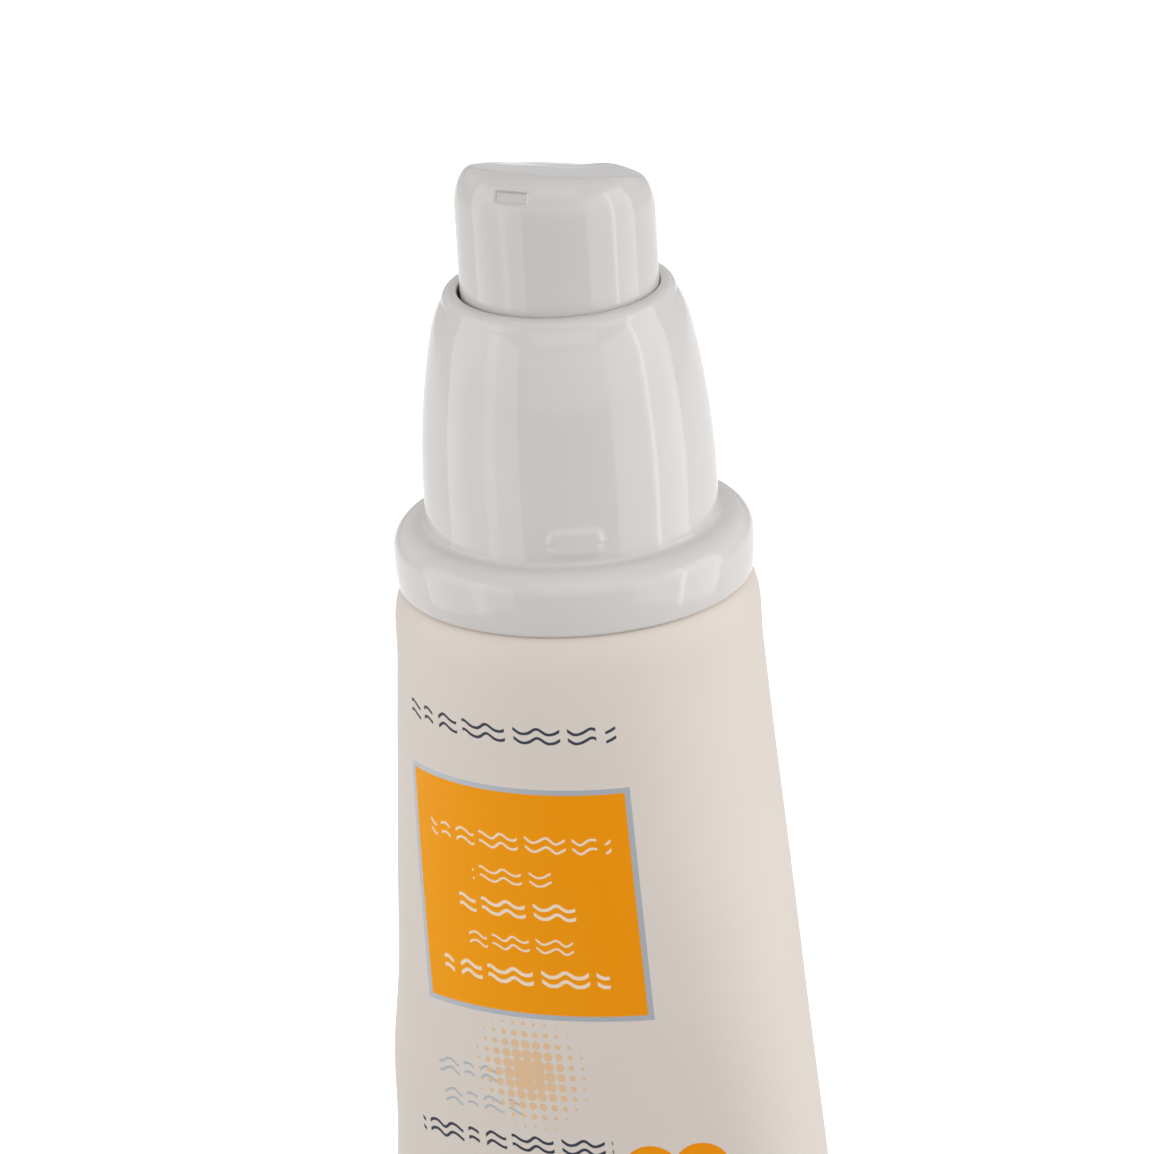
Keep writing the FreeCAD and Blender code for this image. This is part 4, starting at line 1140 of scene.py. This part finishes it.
table_white = bpy.data.materials.new("table_white")
table_white.use_nodes = True
tree = table_white.node_tree
tree.nodes.clear()
table_place = add_node(tree, "ShaderNodeTexCoord").outputs["Object"]
from_middle = add_node(
    tree, "ShaderNodeVectorMath", {0: table_place}, operation="LENGTH").outputs["Value"]
behind = add_node(tree, "ShaderNodeVectorMath", {0: table_place, 1: -level_back},
                  operation="DOT_PRODUCT").outputs["Value"]


def ramp(value, start, end, low=0.0, high=1.0):
    """A share that goes from low to high as a value goes from start to end."""
    return add_node(tree, "ShaderNodeMapRange", {
        "Value": value, "From Min": start, "From Max": end, "To Min": low,
        "To Max": high}).outputs[0]


# the table glows less round the object, where its shadow lies, and fades into the room
off_object = ramp(from_middle, 0.05, 0.16, 0.5)
into_room = ramp(from_middle, 0.62, 0.9, 1.0, room_light)
mirrored_front = ramp(behind, -0.05, 0.12)
glow = calculate(tree, "MULTIPLY", off_object, into_room)
table_path = add_node(tree, "ShaderNodeLightPath")
in_mirror = calculate(tree, "MULTIPLY", calculate(
    tree, "MULTIPLY", table_path.outputs["Is Glossy Ray"], mirrored_white), mirrored_front)
direct = calculate(tree, "MAXIMUM", table_path.outputs["Is Camera Ray"],
                   table_path.outputs["Is Transmission Ray"])
seen = calculate(tree, "MAXIMUM", direct, in_mirror)
table_glow = add_node(tree, "ShaderNodeEmission", {
    "Color": (1, 1, 1, 1), "Strength": calculate(tree, "MULTIPLY", seen, glow)})
table_paint = add_node(tree, "ShaderNodeBsdfDiffuse", {"Color": (0.48, 0.48, 0.48, 1)})
table_sum = add_node(tree, "ShaderNodeAddShader", {
    0: table_glow.outputs[0], 1: table_paint.outputs[0]})
add_node(tree, "ShaderNodeOutputMaterial", {"Surface": table_sum.outputs[0]})
table.data.materials.append(table_white)

room = bpy.data.worlds.new("room")
bpy.context.scene.world = room
room.use_nodes = True
tree = room.node_tree
way = add_node(tree, "ShaderNodeTexCoord").outputs["Generated"]
backwards = add_node(tree, "ShaderNodeVectorMath", {0: way, 1: -level_back},
                     operation="DOT_PRODUCT").outputs["Value"]
height = add_node(tree, "ShaderNodeSeparateXYZ", {0: way}).outputs[2]
backdrop = calculate(tree, "MULTIPLY", ramp(backwards, 0.45, 0.7), ramp(height, 0.02, 0.2))
room_path = add_node(tree, "ShaderNodeLightPath")
seen_backdrop = calculate(tree, "MULTIPLY", backdrop, room_path.outputs["Is Glossy Ray"])
join(tree, calculate(tree, "MULTIPLY_ADD", seen_backdrop, mirrored_white - room_light,
                     room_light), tree.nodes["Background"].inputs["Strength"])
tree.nodes["Background"].inputs["Color"].default_value = (1, 1, 1, 1)


def lamp(name, middle, facing, width, height, brightness):
    """A soft rectangular lamp at a point in millimetres, turned to face another. Its
    brightness is 1 for a face that looks as bright as plain white."""
    data = bpy.data.lights.new(name, "AREA")
    data.shape = "RECTANGLE"
    data.size = width * MM
    data.size_y = height * MM
    data.energy = brightness * math.pi * data.size * data.size_y
    made = into_scene(name, data)
    away = (middle - facing).normalized()
    upright = Vector((0, 0, 1)) if abs(away.z) < 0.9 else level_back
    side = upright.cross(away).normalized()
    made.matrix_world = Matrix.Translation(middle * MM) @ Matrix(
        (side, away.cross(side), away)).transposed().to_4x4()
    made.visible_camera = False
    return made


def beside(turn_degrees, distance, level):
    """A point round the object from the camera's side, positive to the camera's right."""
    turn = math.radians(turn_degrees)
    way = level_back * math.cos(turn) + right * math.sin(turn)
    return way * distance + Vector((0, 0, level))


def side_lamp(name, near_turn, near_distance, far_turn, far_distance, height, brightness):
    """A tall lamp that stands on the table between two points round the object."""
    first = beside(near_turn, near_distance, height / 2)
    last = beside(far_turn, far_distance, height / 2)
    middle = (first + last) / 2
    way = (last - first).normalized()
    facing = middle + way.cross(Vector((0, 0, 1))) * (1 if near_turn > 0 else -1)
    if facing.xy.length > middle.xy.length:
        facing = middle * 2 - facing
    return lamp(name, middle, facing, (last - first).length, height, brightness)


side_lamp("right_lamp", 35, 330, 102, 260, 270, 0.95)
side_lamp("right_side", 64, 250, 100, 240, 270, 0.45)
side_lamp("right_strip", 67, 230, 71, 230, 270, 1.7)
side_lamp("left_lamp", -39, 330, -108, 260, 270, 0.9)
side_lamp("left_strip", -58, 240, -68, 235, 270, 0.6)
lamp("front_card", beside(3, 550, 215), Vector((0, 0, 215)), 700, 210, 0.4)
lamp("front_lamp", beside(3, 430, 560), Vector((0, 0, 150)), 620, 380, 0.7)
lamp("top_lamp", Vector((0, 0, 620)), Vector((0, 0, 0)), 420, 420, 0.3)
